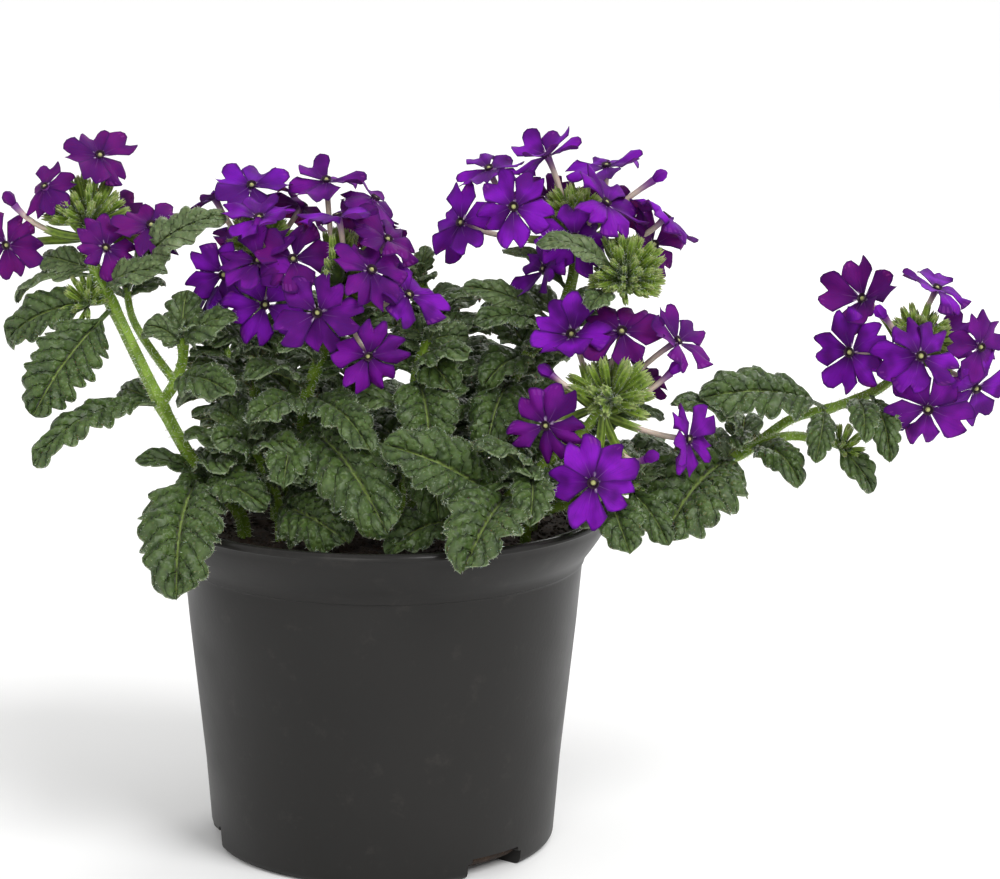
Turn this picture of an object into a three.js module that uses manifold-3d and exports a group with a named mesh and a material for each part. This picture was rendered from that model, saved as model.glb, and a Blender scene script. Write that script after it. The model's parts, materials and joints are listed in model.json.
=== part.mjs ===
// Potted verbena: a nursery pot filled with soil, and a bushy verbena plant
// whose square stems carry toothed leaves, bud domes and rounded heads of
// five-petalled violet florets.
//
// Frame: millimetres, +Z up, +X to the right, the front of the plant towards
// -Y. The origin is the centre of the pot's flat foot, on the ground.
//
// Sources of shape:
//   pot    one lathe profile, three drain pockets cut through its foot
//   soil   a lathe whose top face is roughened, with a plain hole per stem
//   shoots square tubes along smooth paths, thin toothed leaf plates, and
//          domes of pointed buds raised from a small ball
//   heads  five-petal plates on slender tubes that spring from a collar

import * as THREE from 'three';
import { mergeVertices } from 'three/addons/utils/BufferGeometryUtils.js';
import Module from 'manifold-3d';

const wasm = await Module();
wasm.setup();

// ---------------------------------------------------------------- dimensions

const GAP = 0.35;            // air kept between neighbouring pieces

const POT_HEIGHT = 98;
const RIM_RADIUS = 65;
const FOOT_RADIUS = 49.2;
const BAND_BOTTOM = 83.3;    // height of the small step under the rim band
const WALL = 1.5;
const POT_SIDES = 34;

const POCKET_ANGLES = [-48, -168, 72];  // degrees round the foot
const POCKET_WIDTH = 20;
const POCKET_HEIGHT = 5.8;
const POCKET_DEPTH = 12;                // measured inwards from the foot radius
const DRAIN_RADIUS = 3;
const DRAIN_PLACE = 43;                 // distance of a drain hole from the axis

const SOIL_TOP = 92;
const SOIL_SIDES = 20;
const SOIL_ROUGHNESS = 1.1;
const HOLE_BOTTOM = 79;      // the stems stand in plain holes in the soil
const HOLE_DEPTH = 20;
const HOLE_MARGIN = 1.6;     // how much wider a hole is than its stem

const STEM_STEP = 12;        // length of one straight step of a stem
const LEAF_THICKNESS = 0.8;
const PETAL_THICKNESS = 0.7;
const FLORET_RADIUS = 10.2;
const TUBE_RADIUS = 1.1;
const TUBE_SINK = 0.7;       // how far a tube starts inside the collar
const COLLAR_RADIUS = 3.4;
const COLLAR_HALF = 1.1;     // half the collar's height
const LEAST_TURN = 0.55;     // least cosine between a floret's face and its tube

// ------------------------------------------------------------------- colours

const COLOUR = {
  pot: [0x3c3a38, 0.45],
  soil: [0x33231a, 0.95],
  leaf: [0x4b6b3f, 0.7],
  petal: [0x5e129c, 0.5],
};

// ------------------------------------------------------------------- helpers

const V = (x, y, z) => new THREE.Vector3(x, y, z);
const up = V(0, 0, 1);

// A repeatable draw between 0 and 1.
function draw(seed) {
  const s = Math.sin(seed * 12.9898 + 4.1414) * 43758.5453;
  return s - Math.floor(s);
}

// Turns a closed geometry into a solid that can be joined and cut.
function solid(geometry) {
  const flat = geometry.index ? geometry.toNonIndexed() : geometry;
  const bare = new THREE.BufferGeometry();
  bare.setAttribute('position', flat.getAttribute('position'));
  const merged = mergeVertices(bare, 1e-4);
  const index = merged.index.array;
  const place = merged.getAttribute('position');
  const corner = (i) => V(0, 0, 0).fromBufferAttribute(place, i);
  const kept = [];
  let volume = 0;
  for (let i = 0; i < index.length; i += 3) {
    const [a, b, c] = [index[i], index[i + 1], index[i + 2]];
    if (a === b || b === c || a === c) continue;
    kept.push(a, b, c);
    volume += corner(a).dot(corner(b).cross(corner(c)));
  }
  if (volume < 0) kept.reverse();
  return new wasm.Manifold(new wasm.Mesh({
    numProp: 3,
    vertProperties: new Float32Array(place.array),
    triVerts: new Uint32Array(kept),
  }));
}

function join(solids) {
  let pile = solids.slice();
  while (pile.length > 1) {
    const next = [];
    for (let i = 0; i < pile.length; i += 2) {
      next.push(i + 1 < pile.length ? pile[i].add(pile[i + 1]) : pile[i]);
    }
    pile = next;
  }
  return pile[0];
}

// The largest body of a solid; loose scraps left by a cut are dropped.
function largest(shape) {
  const bodies = shape.decompose();
  bodies.sort((a, b) => b.volume() - a.volume());
  return bodies[0];
}

function mesh(name, shape, [colour, roughness]) {
  const data = shape.getMesh();
  const geometry = new THREE.BufferGeometry();
  geometry.setAttribute('position', new THREE.BufferAttribute(data.vertProperties, 3));
  geometry.setIndex(new THREE.BufferAttribute(data.triVerts, 1));
  const material = new THREE.MeshStandardMaterial({ color: colour, roughness, metalness: 0 });
  const result = new THREE.Mesh(geometry, material);
  result.name = name;
  return result;
}

function boxesTouch(a, b) {
  const p = a.boundingBox();
  const q = b.boundingBox();
  return [0, 1, 2].every((k) => p.min[k] < q.max[k] && q.min[k] < p.max[k]);
}

// A thin plate between two faces, each given as pairs of left and right edge
// points. Both faces are split along the same diagonals.
function plate(top, low) {
  const points = [];
  const quad = (a, b, c, d) => points.push(a, b, c, a, c, d);
  const last = top.length - 1;
  for (let i = 0; i < last; i++) {
    const [p0, p1] = top[i];
    const [q0, q1] = top[i + 1];
    const [r0, r1] = low[i];
    const [s0, s1] = low[i + 1];
    quad(p0, p1, q1, q0);
    quad(r0, s0, s1, r1);
    quad(p0, q0, s0, r0);
    quad(q1, p1, r1, s1);
  }
  quad(top[0][1], top[0][0], low[0][0], low[0][1]);
  quad(top[last][0], top[last][1], low[last][1], low[last][0]);
  return new THREE.BufferGeometry().setFromPoints(points);
}

// ----------------------------------------------------------------------- pot

const potProfile = [
  [0, 0], [FOOT_RADIUS - 2.6, 0], [FOOT_RADIUS - 0.7, 0.8], [FOOT_RADIUS, 2.8],
  [57, BAND_BOTTOM], [58.1, BAND_BOTTOM + 0.2], [61.7, 91], [RIM_RADIUS - 0.2, 96],
  [RIM_RADIUS, 97.1], [RIM_RADIUS - 0.9, POT_HEIGHT], [RIM_RADIUS - 2.4, POT_HEIGHT],
  [RIM_RADIUS - 3.2, 97.1], [55.6, BAND_BOTTOM], [FOOT_RADIUS - WALL, 3.6],
  [FOOT_RADIUS - 3.4, 1.8], [0, 1.8],
];

function lathe(profile, sides) {
  const points = profile.map(([r, z]) => new THREE.Vector2(r, z));
  return new THREE.LatheGeometry(points, sides).rotateX(Math.PI / 2);
}

// A block lying across the foot at one pocket, grown by g on every free side.
function pocketBlock(angle, g, reach) {
  const depth = POCKET_DEPTH + g + reach;
  const block = new THREE.BoxGeometry(depth, POCKET_WIDTH + 2 * g, POCKET_HEIGHT + g + 1);
  block.translate(FOOT_RADIUS - POCKET_DEPTH - g + depth / 2, 0, (POCKET_HEIGHT + g - 1) / 2);
  return solid(block.rotateZ(THREE.MathUtils.degToRad(angle)));
}

function buildPot() {
  let pot = solid(lathe(potProfile, POT_SIDES));
  const footProfile = [[0, 0], [FOOT_RADIUS - 0.9, 0], [FOOT_RADIUS + 0.2, 20], [0, 20]];
  const foot = solid(lathe(footProfile, POT_SIDES));
  for (const angle of POCKET_ANGLES) {
    pot = pot.add(pocketBlock(angle, WALL, 0).intersect(foot));
    pot = pot.subtract(pocketBlock(angle, 0, 6));
    const a = THREE.MathUtils.degToRad(angle);
    const hole = new THREE.CylinderGeometry(DRAIN_RADIUS, DRAIN_RADIUS, 6, 8).rotateX(Math.PI / 2);
    hole.translate(DRAIN_PLACE * Math.cos(a), DRAIN_PLACE * Math.sin(a), POCKET_HEIGHT + 1);
    pot = pot.subtract(solid(hole));
  }
  return pot;
}

// ---------------------------------------------------------------------- soil

function buildSoil(feet) {
  const inset = WALL + 0.6;
  const profile = [
    [0, 2.3], [FOOT_RADIUS - 4.2, 2.3], [FOOT_RADIUS - inset, 4.2], [56.9 - inset, BAND_BOTTOM],
    [58.4, SOIL_TOP - 1], [49, SOIL_TOP], [36, SOIL_TOP], [19, SOIL_TOP], [0, SOIL_TOP],
  ];
  const geometry = lathe(profile, SOIL_SIDES);
  const place = geometry.getAttribute('position');
  for (let i = 0; i < place.count; i++) {
    const [x, y, z] = [place.getX(i), place.getY(i), place.getZ(i)];
    if (z < SOIL_TOP - 0.5) continue;
    const cell = Math.round(x * 7) + 131 * Math.round(y * 7);
    place.setZ(i, z + SOIL_ROUGHNESS * (2 * draw(cell) - 1));
  }
  let soil = solid(geometry);
  for (const angle of POCKET_ANGLES) {
    soil = soil.subtract(pocketBlock(angle, WALL + GAP, 2));
  }
  for (const [x, y, r] of feet) {
    const hole = new THREE.CylinderGeometry(r, r, HOLE_DEPTH, 6).rotateX(Math.PI / 2);
    soil = soil.subtract(solid(hole.translate(x, y, HOLE_BOTTOM + HOLE_DEPTH / 2)));
  }
  return soil;
}

// --------------------------------------------------------------- plant rules

// A stem is a square tube along a smooth path.
function path(points) {
  return new THREE.CatmullRomCurve3(points.map((p) => V(...p)), false, 'catmullrom', 0.5);
}

function stemSolid(points, radius, g) {
  const curve = path(points);
  const r = radius + g;
  const corners = [[r, 0], [0, r], [-r, 0], [0, -r]];
  const shape = new THREE.Shape(corners.map(([x, y]) => new THREE.Vector2(x, y)));
  const steps = Math.max(3, Math.round(curve.getLength() / STEM_STEP));
  return solid(new THREE.ExtrudeGeometry(shape, { steps, extrudePath: curve }));
}

// Leaf outlines: distance along the midrib and half width, both as shares.
// Rounded teeth: at each station in turn one edge stands out and the other is
// cut back by TOOTH.
const LARGE_LEAF = [
  [0, 0.08], [0.16, 0.1], [0.27, 0.8], [0.39, 1], [0.51, 1], [0.64, 0.92], [0.8, 0.72], [1, 0.2],
];
const SMALL_LEAF = [[0, 0.16], [0.3, 0.9], [0.48, 1], [0.7, 0.86], [1, 0.24]];
const TOOTH = 0.74;

// The frame of a leaf: its midrib is a bowed line from root to tip, and its
// face is turned from the sky (0) towards the front (1).
function leafFrame(root, tip, face, bow) {
  const along = tip.clone().sub(root);
  const length = along.length();
  along.normalize();
  const wish = V(0, -face, 1 - 0.6 * face);
  const normal = wish.addScaledVector(along, -wish.dot(along)).normalize();
  const side = along.clone().cross(normal);
  const middle = root.clone().lerp(tip, 0.5).addScaledVector(normal, 2 * bow * length);
  const rib = (s) => {
    const a = root.clone().lerp(middle, s);
    return a.lerp(middle.clone().lerp(tip, s), s);
  };
  return { along, normal, side, rib };
}

function leafSolid(root, tip, width, face, bow, large, g) {
  const { along, normal, side, rib } = leafFrame(root, tip, face, bow);
  const half = LEAF_THICKNESS / 2 + g;
  const outline = large ? LARGE_LEAF : SMALL_LEAF;
  const surface = (lift) => outline.map(([s, share], i) => {
    const atEnd = share < 0.3;
    const centre = rib(s).addScaledVector(along, s === 1 ? g : 0).addScaledVector(normal, lift);
    return [-1, 1].map((hand) => {
      const cut = atEnd || (i % 2 === 0) === (hand > 0) ? 1 : TOOTH;
      return centre.clone().addScaledVector(side, hand * (cut * share * width / 2 + g));
    });
  });
  return solid(plate(surface(half), surface(-half)));
}

// Two unit vectors square to a direction.
function basis(d) {
  const helper = Math.abs(d.z) < 0.9 ? up : V(1, 0, 0);
  const u = helper.clone().cross(d).normalize();
  return [u, d.clone().cross(u)];
}

// A dome of pointed buds: each face of a small ball on the side that the stalk
// does not reach is raised to a point.
function domeSolid({ at, axis, core, reach, detail, spread }, g) {
  const w = V(...axis).normalize();
  const ball = new THREE.IcosahedronGeometry(core + g, detail).getAttribute('position');
  const points = [];
  for (let i = 0; i < ball.count; i += 3) {
    const corners = [0, 1, 2].map((k) => V(0, 0, 0).fromBufferAttribute(ball, i + k));
    const out = corners[0].clone().add(corners[1]).add(corners[2]).normalize();
    const polar = THREE.MathUtils.radToDeg(out.angleTo(w));
    const raised = polar < spread ? reach * (0.9 + 0.2 * draw(i + at[0])) : core * 0.95;
    const point = out.multiplyScalar(raised + g);
    corners.forEach((c, k) => points.push(c, corners[(k + 1) % 3], point));
  }
  const dome = new THREE.BufferGeometry().setFromPoints(points);
  return solid(dome.translate(...at));
}

// A floret: five petals with notched tips on one thin plate, and a slender
// tube that narrows from behind the petals to the collar below the dome. Its
// fuller shape is widest round the tube, where the dome makes room for it.
const PETAL_OUTLINE = [[0.22, 0], [0.95, 0.17], [0.86, 0.5], [0.95, 0.83]];

function floretSolid(head, { collar, along }, [x, y, z, size, front], turn, g) {
  const centre = V(x, y, z);
  const outward = centre.clone().sub(collar);
  outward.addScaledVector(along, -outward.dot(along)).normalize();
  const start = collar.clone().addScaledVector(outward, COLLAR_RADIUS - TUBE_SINK);
  const tube = centre.clone().sub(start).normalize();
  const face = centre.clone().sub(V(...head.at)).normalize();
  face.add(V(0, -front, 0.2 + 0.2 * front)).normalize();
  while (face.dot(tube) < LEAST_TURN) face.addScaledVector(tube, 0.1).normalize();
  const [u, v] = basis(face);
  const ring = (middle, radius, angle) => middle.clone()
    .addScaledVector(u, radius * Math.cos(angle)).addScaledVector(v, radius * Math.sin(angle));
  const rim = [];
  for (let petal = 0; petal < 5; petal++) {
    for (const [r, t] of PETAL_OUTLINE) {
      const uneven = 0.94 + 0.12 * draw(petal * 7 + x);
      const radius = FLORET_RADIUS * size * r * uneven + (t === 0 ? 3 * g : g);
      const droop = 0.16 * radius * (r - 0.2) * (2 * draw(petal * 3 + z) - 0.6);
      const angle = turn + (petal + t) * 2 * Math.PI / 5;
      rim.push(ring(centre, radius, angle).addScaledVector(face, -droop));
    }
  }
  const half = PETAL_THICKNESS / 2 + g;
  const top = rim.map((p) => p.clone().addScaledVector(face, half));
  const low = rim.map((p) => p.clone().addScaledVector(face, -half));
  const crown = centre.clone().addScaledVector(face, half - 0.25);
  const foot = TUBE_RADIUS + 3.5 * g;
  const end = [0, 1, 2].map((k) => ring(start, foot, turn + 0.6 + k * 2 * Math.PI / 3));

  const points = [];
  const tri = (a, b, c) => points.push(a, b, c);
  const count = rim.length;
  for (let k = 0; k < count; k++) {
    const n = (k + 1) % count;
    tri(crown, top[k], top[n]);
    tri(low[k], low[n], top[n]);
    tri(low[k], top[n], top[k]);
  }
  for (let petal = 0; petal < 5; petal++) {
    const k = 4 * petal;
    const n = (k + 4) % count;
    tri(low[k], low[k + 2], low[k + 1]);
    tri(low[k], low[k + 3], low[k + 2]);
    tri(low[k], low[n], low[k + 3]);
    const near = Math.floor(petal * 0.6);
    const next = Math.floor((petal + 1) * 0.6) % 3;
    tri(low[n], low[k], end[near]);
    if (near !== next) tri(low[n], end[near], end[next]);
  }
  tri(end[0], end[2], end[1]);
  return solid(new THREE.BufferGeometry().setFromPoints(points));
}

// The collar is a short sleeve round the stalk just under the dome.
function collarSolid({ collar, along }, stalk, g) {
  const inner = stalk + GAP - g;
  const outer = COLLAR_RADIUS + g;
  const half = COLLAR_HALF + g;
  const ring = lathe([[inner, -half], [outer, -half], [outer, half], [inner, half], [inner, -half]], 6);
  ring.applyQuaternion(new THREE.Quaternion().setFromUnitVectors(up, along));
  return solid(ring.translate(collar.x, collar.y, collar.z));
}

// --------------------------------------------------------------------- plant

// Each shoot holds its stems: r is the half diagonal of the square stem, path
// its way from the soil. A leaf is [place on the path 0-1, tip x, y, z, width,
// face, L for a large one]. A pair is [place, bearing in degrees, length] and
// sets two leaves opposite each other.
const L = 1;
const SHOOTS = [
  { name: 'shoot_left', heads: ['a'], stems: [
    { r: 1.9, path: [[-39, -18, 80], [-39, -18, 97], [-50, -20, 110], [-61, -18, 129],
      [-74, -14, 155], [-80, -10, 167], [-83, 0, 179]],
    leaves: [
      [0.67, -94, -38, 130, 21, 0.8, L], [0.69, -106, -10, 145, 16, 0.6, L], [0.78, -105, -1, 157, 9, 0.3],
      [0.8, -97, 2, 168, 11, 0.7], [0.73, -59, -22, 168, 12, 0.6], [0.5, -94, -45, 119, 15, 0.25, L],
      [0.5, -75, -5, 131, 9, 0.8], [0.33, -68, -22, 115, 9, 0.4], [0.34, -53, -65, 89, 25, 0.8, L],
      [0.31, -30, -46, 107, 14, 0.6]] },
    { r: 1.5, path: [[-61, -18, 129], [-57, -17, 135], [-55, -16, 141], [-55, -15, 147]],
      leaves: [[0.9, -65, -19, 152, 10, 0.6], [0.95, -54, -10, 160, 12, 0.7],
        [0.9, -40, -25, 156, 13, 0.6], [0.35, -40, -41, 138, 15, 0.6]] },
    { r: 1.3, path: [[-57, -17, 135], [-64, -9, 142], [-70, -3, 150], [-72, -2, 159]],
      leaves: [[0.96, -44, -14, 183, 15, 0.6]] },
  ] },
  { name: 'shoot_centre_left', heads: ['b_left'], stems: [
    { r: 1.7, path: [[-31, 4, 80], [-31, 4, 98], [-35, 4, 112], [-37, 8, 127], [-36, 7, 145],
      [-34, 4, 158], [-34, 0, 172]],
    leaves: [[0.62, -46, -16, 147, 11, 0.6], [0.62, -24, -16, 147, 10, 0.6]],
    pairs: [[0.45, 15, 24]] },
  ] },
  { name: 'shoot_centre_right', heads: ['b_right'], stems: [
    { r: 1.7, path: [[-20, -13, 80], [-20, -13, 98], [-22, -13, 114], [-21, -12, 130],
      [-16, -11, 144], [-13, -11, 156], [-12, -12, 168]],
    leaves: [[0.48, -34, -44, 130, 14, 0.6], [0.5, -2, -49, 126, 15, 0.5], [0.6, -26, -32, 150, 8, 0.6],
      [0.42, 3, -61, 105, 24, 0.75, L], [0.34, -25, -50, 117, 15, 0.5], [0.58, 2, -10, 146, 11, 0.3]] },
  ] },
  { name: 'shoot_right', heads: ['c', 'd'], stems: [
    { r: 1.7, path: [[20, 3, 80], [20, 3, 98], [28, 4, 118], [40, 2, 139], [48, 0, 150],
      [53, 1, 163], [53, 2, 180]],
    leaves: [[0.5, 28, -17, 136, 15, 0.5], [0.66, 23, -14, 163, 10, 0.5], [0.6, 26, -22, 154, 11, 0.5],
      [0.45, 29, -31, 119, 17, 0.7, L], [0.78, 33, 8, 170, 7, 0.4], [0.55, 54, 18, 146, 12, 0.3]],
    pairs: [[0.36, 60, 24]] },
    { r: 1.5, path: [[48, 0, 150], [56, -8, 155], [62, -13, 160], [67, -15, 167]],
      leaves: [[0.86, 43, -24, 178, 10, 0.5], [0.6, 57, -34, 160, 9, 0.5]] },
  ] },
  { name: 'shoot_front_right', heads: ['e'], stems: [
    { r: 1.7, path: [[30, -28, 80], [30, -28, 97], [37, -32, 108], [46, -34, 117],
      [56, -34, 126], [63, -30, 136]],
      leaves: [[0.3, 3, -55, 127, 22, 0.75, L], [0.36, 24, -74, 99, 24, 0.75, L],
        [0.22, 2, -50, 97, 17, 0.6, L], [0.5, 41, -60, 106, 13, 0.7], [0.62, 80, -12, 128, 8, 0.5]] },
  ] },
  { name: 'shoot_far_right', heads: ['f', 'f_side'], stems: [
    { r: 1.6, path: [[43, -8, 80], [43, -8, 97], [56, -10, 103.5], [72, -8, 104], [90, -2, 108],
      [102, 0, 113], [115, 2, 122], [128, 2, 126], [142, 1, 133], [151, 0, 147]],
    leaves: [
      [0.76, 88, -24, 134, 20, 0.5, L], [0.55, 82, -26, 135, 13, 0.5, L], [0.53, 77, -40, 98, 29, 0.75, L],
      [0.57, 116, -24, 111, 12, 0.6], [0.75, 120, -24, 116, 9, 0.7], [0.82, 133, -26, 124, 10, 0.6],
      [0.85, 141, -22, 117, 10, 0.6], [0.55, 104, 20, 121, 12, 0.5], [0.3, 78, 12, 116, 12, 0.3]] },
    { r: 1.4, path: [[102, 0, 113], [109, -4, 117.5], [116, -6, 119], [123, -7, 118], [129, -8, 117]],
      leaves: [[0.92, 138, -14, 105, 10, 0.5]] },
  ] },
  { name: 'shoot_middle', heads: [], stems: [
    { r: 1.6, path: [[8, 11, 80], [8, 11, 98], [12, 10, 112], [15, 11, 126], [15, 11, 139], [13, 9, 150],
      [10, 8, 161]],
    leaves: [[0.66, 4, -8, 146, 18, 0.6], [0.82, 9, 2, 156, 11, 0.5], [1, 12, 9, 170, 7, 0.5],
      [0.72, 22, 20, 148, 9, 0.2]],
    pairs: [[0.4, 80, 25]] },
  ] },
  { name: 'shoot_front', heads: [], stems: [
    { r: 1.6, path: [[5, -19, 80], [5, -19, 98], [6, -19, 112], [8, -17, 126],
      [10, -14, 139], [13, -12, 147]],
    leaves: [[0.78, 14, -38, 120, 19, 0.7, L], [0.6, 17, -46, 104, 18, 0.6, L],
      [0.97, 5, -12, 154, 9, 0.5], [0.98, 24, -14, 148, 12, 0.6], [0.9, 20, -28, 136, 14, 0.7]] },
  ] },
  { name: 'shoot_front_left', heads: [], stems: [
    { r: 1.5, path: [[-28, -22, 80], [-28, -22, 98], [-31, -24, 110], [-36, -25, 119]],
      leaves: [[0.95, -44, -40, 124, 13, 0.7], [0.4, -8, -50, 99, 21, 0.75, L],
        [0.8, -19, -36, 112, 10, 0.6]] },
  ] },
  { name: 'shoot_rim_right', heads: [], stems: [
    { r: 1.5, path: [[41, -23, 80], [41, -23, 97], [53, -27, 104], [63, -28, 107], [71, -27, 110]],
      leaves: [[0.75, 68, -52, 97, 15, 0.75, L], [0.5, 60, -40, 101, 11, 0.6], [0.9, 79, -44, 97, 11, 0.7],
        [1, 87, -25, 97, 10, 0.6], [0.85, 66, -8, 118, 12, 0.4]] },
  ] },
  { name: 'shoot_back_left', heads: [], stems: [
    { r: 1.6, path: [[-30, 32, 80], [-30, 32, 98], [-36, 39, 110], [-44, 47, 121], [-50, 54, 133]],
      leaves: [], pairs: [[0.42, 30, 28], [0.66, 120, 26], [0.95, 30, 20]] },
  ] },
  { name: 'shoot_back', heads: [], stems: [
    { r: 1.6, path: [[-5, 36, 80], [-5, 36, 98], [-8, 41, 115], [-13, 45, 131], [-16, 46, 146]],
      leaves: [], pairs: [[0.42, 60, 30], [0.66, 160, 26], [0.95, 60, 20]] },
  ] },
  { name: 'shoot_back_right', heads: [], stems: [
    { r: 1.6, path: [[26, 31, 80], [26, 31, 98], [32, 39, 111], [40, 47, 124], [46, 53, 137]],
      leaves: [], pairs: [[0.42, -40, 30], [0.66, 50, 26], [0.95, -40, 20]] },
  ] },
];

// Heads: where the dome of buds sits, the way it points, its core, the reach
// of its buds, how finely it is divided, how far its buds spread from the axis
// in degrees, how far the collar lies below it, and the florets as
// [x, y, z, size, front], where front turns a floret towards -Y.
const HEADS = {
  a: { at: [-83, 0, 179], axis: [-0.1, 0.1, 1], core: 5.6, reach: 11.6, detail: 0, spread: 95, drop: 7.5,
    florets: [[-79, 2, 196, 0.95, 0.6], [-94, -5, 188, 0.85, 0.8], [-105, -5, 171, 0.95, 0.8],
      [-76, -13, 172, 0.9, 0.5], [-64, -8, 178, 1, 0.3], [-75, 13, 177, 1, 0]] },
  b_left: { at: [-34, 0, 172], axis: [-0.1, 0, 1], core: 4.8, reach: 9.5, detail: 0, spread: 95, drop: 7,
    florets: [[-37, 2, 188, 1, 0.3], [-48, 6, 184, 0.9, 0.5], [-44, -11, 164, 1, 1], [-50, -3, 157, 1, 0.8],
      [-34, -12, 181, 1, 0.8], [-34, -19, 170, 1.05, 1.3],
      [-32, -18, 157, 1, 1.8], [-38, 18, 171, 1, 0], [-23, 14, 181, 1, 0]] },
  b_right: { at: [-12, -12, 168], axis: [0.1, 0, 1], core: 4.8, reach: 9.5, detail: 0, spread: 95, drop: 7,
    florets: [[-16, 0, 190, 1, 0.3], [-2, 0, 185, 1, 0.5], [-12, -21, 183, 1, 0.9], [2, -18, 176, 1, 0.9],
      [-2, -28, 169, 1.05, 1.4], [-17, -31, 157, 1.05, 1.8], [-3, -31, 145, 0.95, 1.4], [8, -20, 161, 1, 1],
      [-24, -23, 171, 1, 1.1], [-4, 5, 175, 1, 0]] },
  c: { at: [53, 2, 180], axis: [0, 0, 1], core: 4.8, reach: 9, detail: 0, spread: 90, drop: 7,
    florets: [[45, 4, 197, 1, 0.2], [62, 6, 194, 1, 0.3], [36, -12, 184, 1.05, 1.5],
      [62, -13, 186, 1.1, 1.5], [29, 5, 193, 0.95, 0.4], [21, 0, 178, 1, 0.7], [79, -2, 181, 1, 0.3],
      [53, -15, 176, 1, 1.2], [76, 1, 172, 0.95, 1], [44, -6, 166, 0.9, 0.6], [46, 18, 184, 1, 0],
      [66, 17, 180, 1, 0]] },
  d: { at: [67, -15, 167], axis: [0.1, -0.15, 1], core: 7.2, reach: 10.8, detail: 1, spread: 120, drop: 0,
    florets: [] },
  e: { at: [63, -30, 136], axis: [0.15, -0.2, 1], core: 5.2, reach: 12, detail: 0, spread: 105, drop: 6.5,
    florets: [[52, -24, 151, 1.05, 1.4], [66, -24, 152, 1.08, 1.4], [82, -22, 149, 1, 0.9], [45, -39, 128, 1, 1.8],
      [58, -47, 114, 1.2, 1.9], [85, -31, 123, 0.95, 0.5], [71, -12, 138, 0.95, 0]] },
  f: { at: [151, 0, 147], axis: [0.3, 0, 1], core: 4.2, reach: 9, detail: 0, spread: 95, drop: 6.5,
    florets: [[134, 3, 157, 1.08, 0.9], [156, 6, 160, 1, 0.8], [130, -6, 143, 1.12, 1.6],
      [149, -17, 144, 1.15, 1.8], [167, -8, 145, 0.95, 0.9], [152, -13, 128, 1.12, 1.5],
      [167, -3, 132, 1.05, 0.9], [158, 14, 144, 1, 0]] },
  f_side: { at: [129, -8, 117], axis: [0.5, -0.2, 0.8], core: 3, reach: 6.5, detail: 0, spread: 100,
    drop: 0, florets: [] },
};

// The place and direction of the collar: on the stalk, below the dome.
function collarFrame(points, drop) {
  const curve = path(points);
  const end = curve.getPoint(1);
  let t = 1;
  while (end.distanceTo(curve.getPoint(t)) < drop) t -= 0.002;
  return { collar: curve.getPoint(t), along: curve.getTangent(t) };
}

function shootSolids(shoot, g) {
  const parts = [];
  shoot.stems.forEach((stem, row) => {
    parts.push(stemSolid(stem.path, stem.r, g));
    const curve = path(stem.path);
    stem.leaves.forEach(([t, x, y, z, width, face, large], i) => {
      const bow = 0.08 + 0.06 * draw(i + 10 * row + x);
      parts.push(leafSolid(curve.getPoint(t), V(x, y, z), width, face, bow, large === L, g));
    });
    for (const [t, bearing, length] of stem.pairs ?? []) {
      for (const half of [0, 180]) {
        const a = THREE.MathUtils.degToRad(bearing + half);
        const rise = 0.1 + 0.45 * draw(bearing + half + length);
        const root = curve.getPoint(t);
        const tip = root.clone().addScaledVector(V(Math.cos(a), Math.sin(a), rise).normalize(), length);
        parts.push(leafSolid(root, tip, 0.6 * length, 0.15, 0.12, false, g));
      }
    }
  });
  return parts;
}

function bloomSolid(head, stem, g) {
  const frame = collarFrame(stem.path, head.drop);
  const parts = [collarSolid(frame, stem.r, g)];
  head.florets.forEach((floret, i) => {
    parts.push(floretSolid(head, frame, floret, 2 * Math.PI * draw(i + 3 * floret[0]), g));
  });
  return join(parts);
}

// ------------------------------------------------------------------ assembly

const group = new THREE.Group();
group.name = 'potted_verbena';
group.add(mesh('pot', buildPot(), COLOUR.pot));

const feet = SHOOTS.map(({ stems }) => [stems[0].path[0][0], stems[0].path[0][1], stems[0].r + HOLE_MARGIN]);
group.add(mesh('soil', largest(buildSoil(feet)), COLOUR.soil));

// The tubes of a head pass between its own buds, so the dome makes room for
// them. Where two other pieces would touch, the later one is trimmed clear of
// the fuller shape of the earlier one.
const done = [];
function place(name, shape, fuller, colour) {
  let kept = shape;
  for (const other of done) {
    if (boxesTouch(kept, other)) kept = kept.subtract(other);
  }
  done.push(fuller);
  group.add(mesh(name, largest(kept), colour));
}

for (const { name, heads, stems } of SHOOTS) {
  const parts = shootSolids({ stems }, 0);
  const fuller = shootSolids({ stems }, GAP);
  heads.forEach((key, row) => {
    const head = HEADS[key];
    const dome = domeSolid(head, 0);
    const open = head.florets.length > 0;
    parts.push(open ? dome.subtract(bloomSolid(head, stems[row], GAP)) : dome);
    if (!open) fuller.push(domeSolid(head, GAP));
  });
  place(name, join(parts), join(fuller), COLOUR.leaf);
}
for (const { heads, stems } of SHOOTS) {
  heads.forEach((key, row) => {
    const head = HEADS[key];
    if (head.florets.length === 0) return;
    const fuller = bloomSolid(head, stems[row], GAP);
    place(`florets_${key}`, bloomSolid(head, stems[row], 0), fuller, COLOUR.petal);
  });
}

export default group;
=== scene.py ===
# %% [markdown]
# # A potted verbena
#
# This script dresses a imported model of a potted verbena: a dark nursery pot
# full of peaty compost, thirteen leafy shoots with square stems, and six
# rounded heads of violet florets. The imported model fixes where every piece
# stands. Each piece is made again here with finer shapes and a finish of its
# own, in the same place, and then takes over from its plain solid.
#
# Lengths are written in millimetres, as a gardener would measure them, and
# become metres when a mesh is made. The front of the plant looks towards -Y.

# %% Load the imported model
import json
import math

import bmesh
import bpy
import numpy as np
from mathutils import Matrix, Vector, noise

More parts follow.
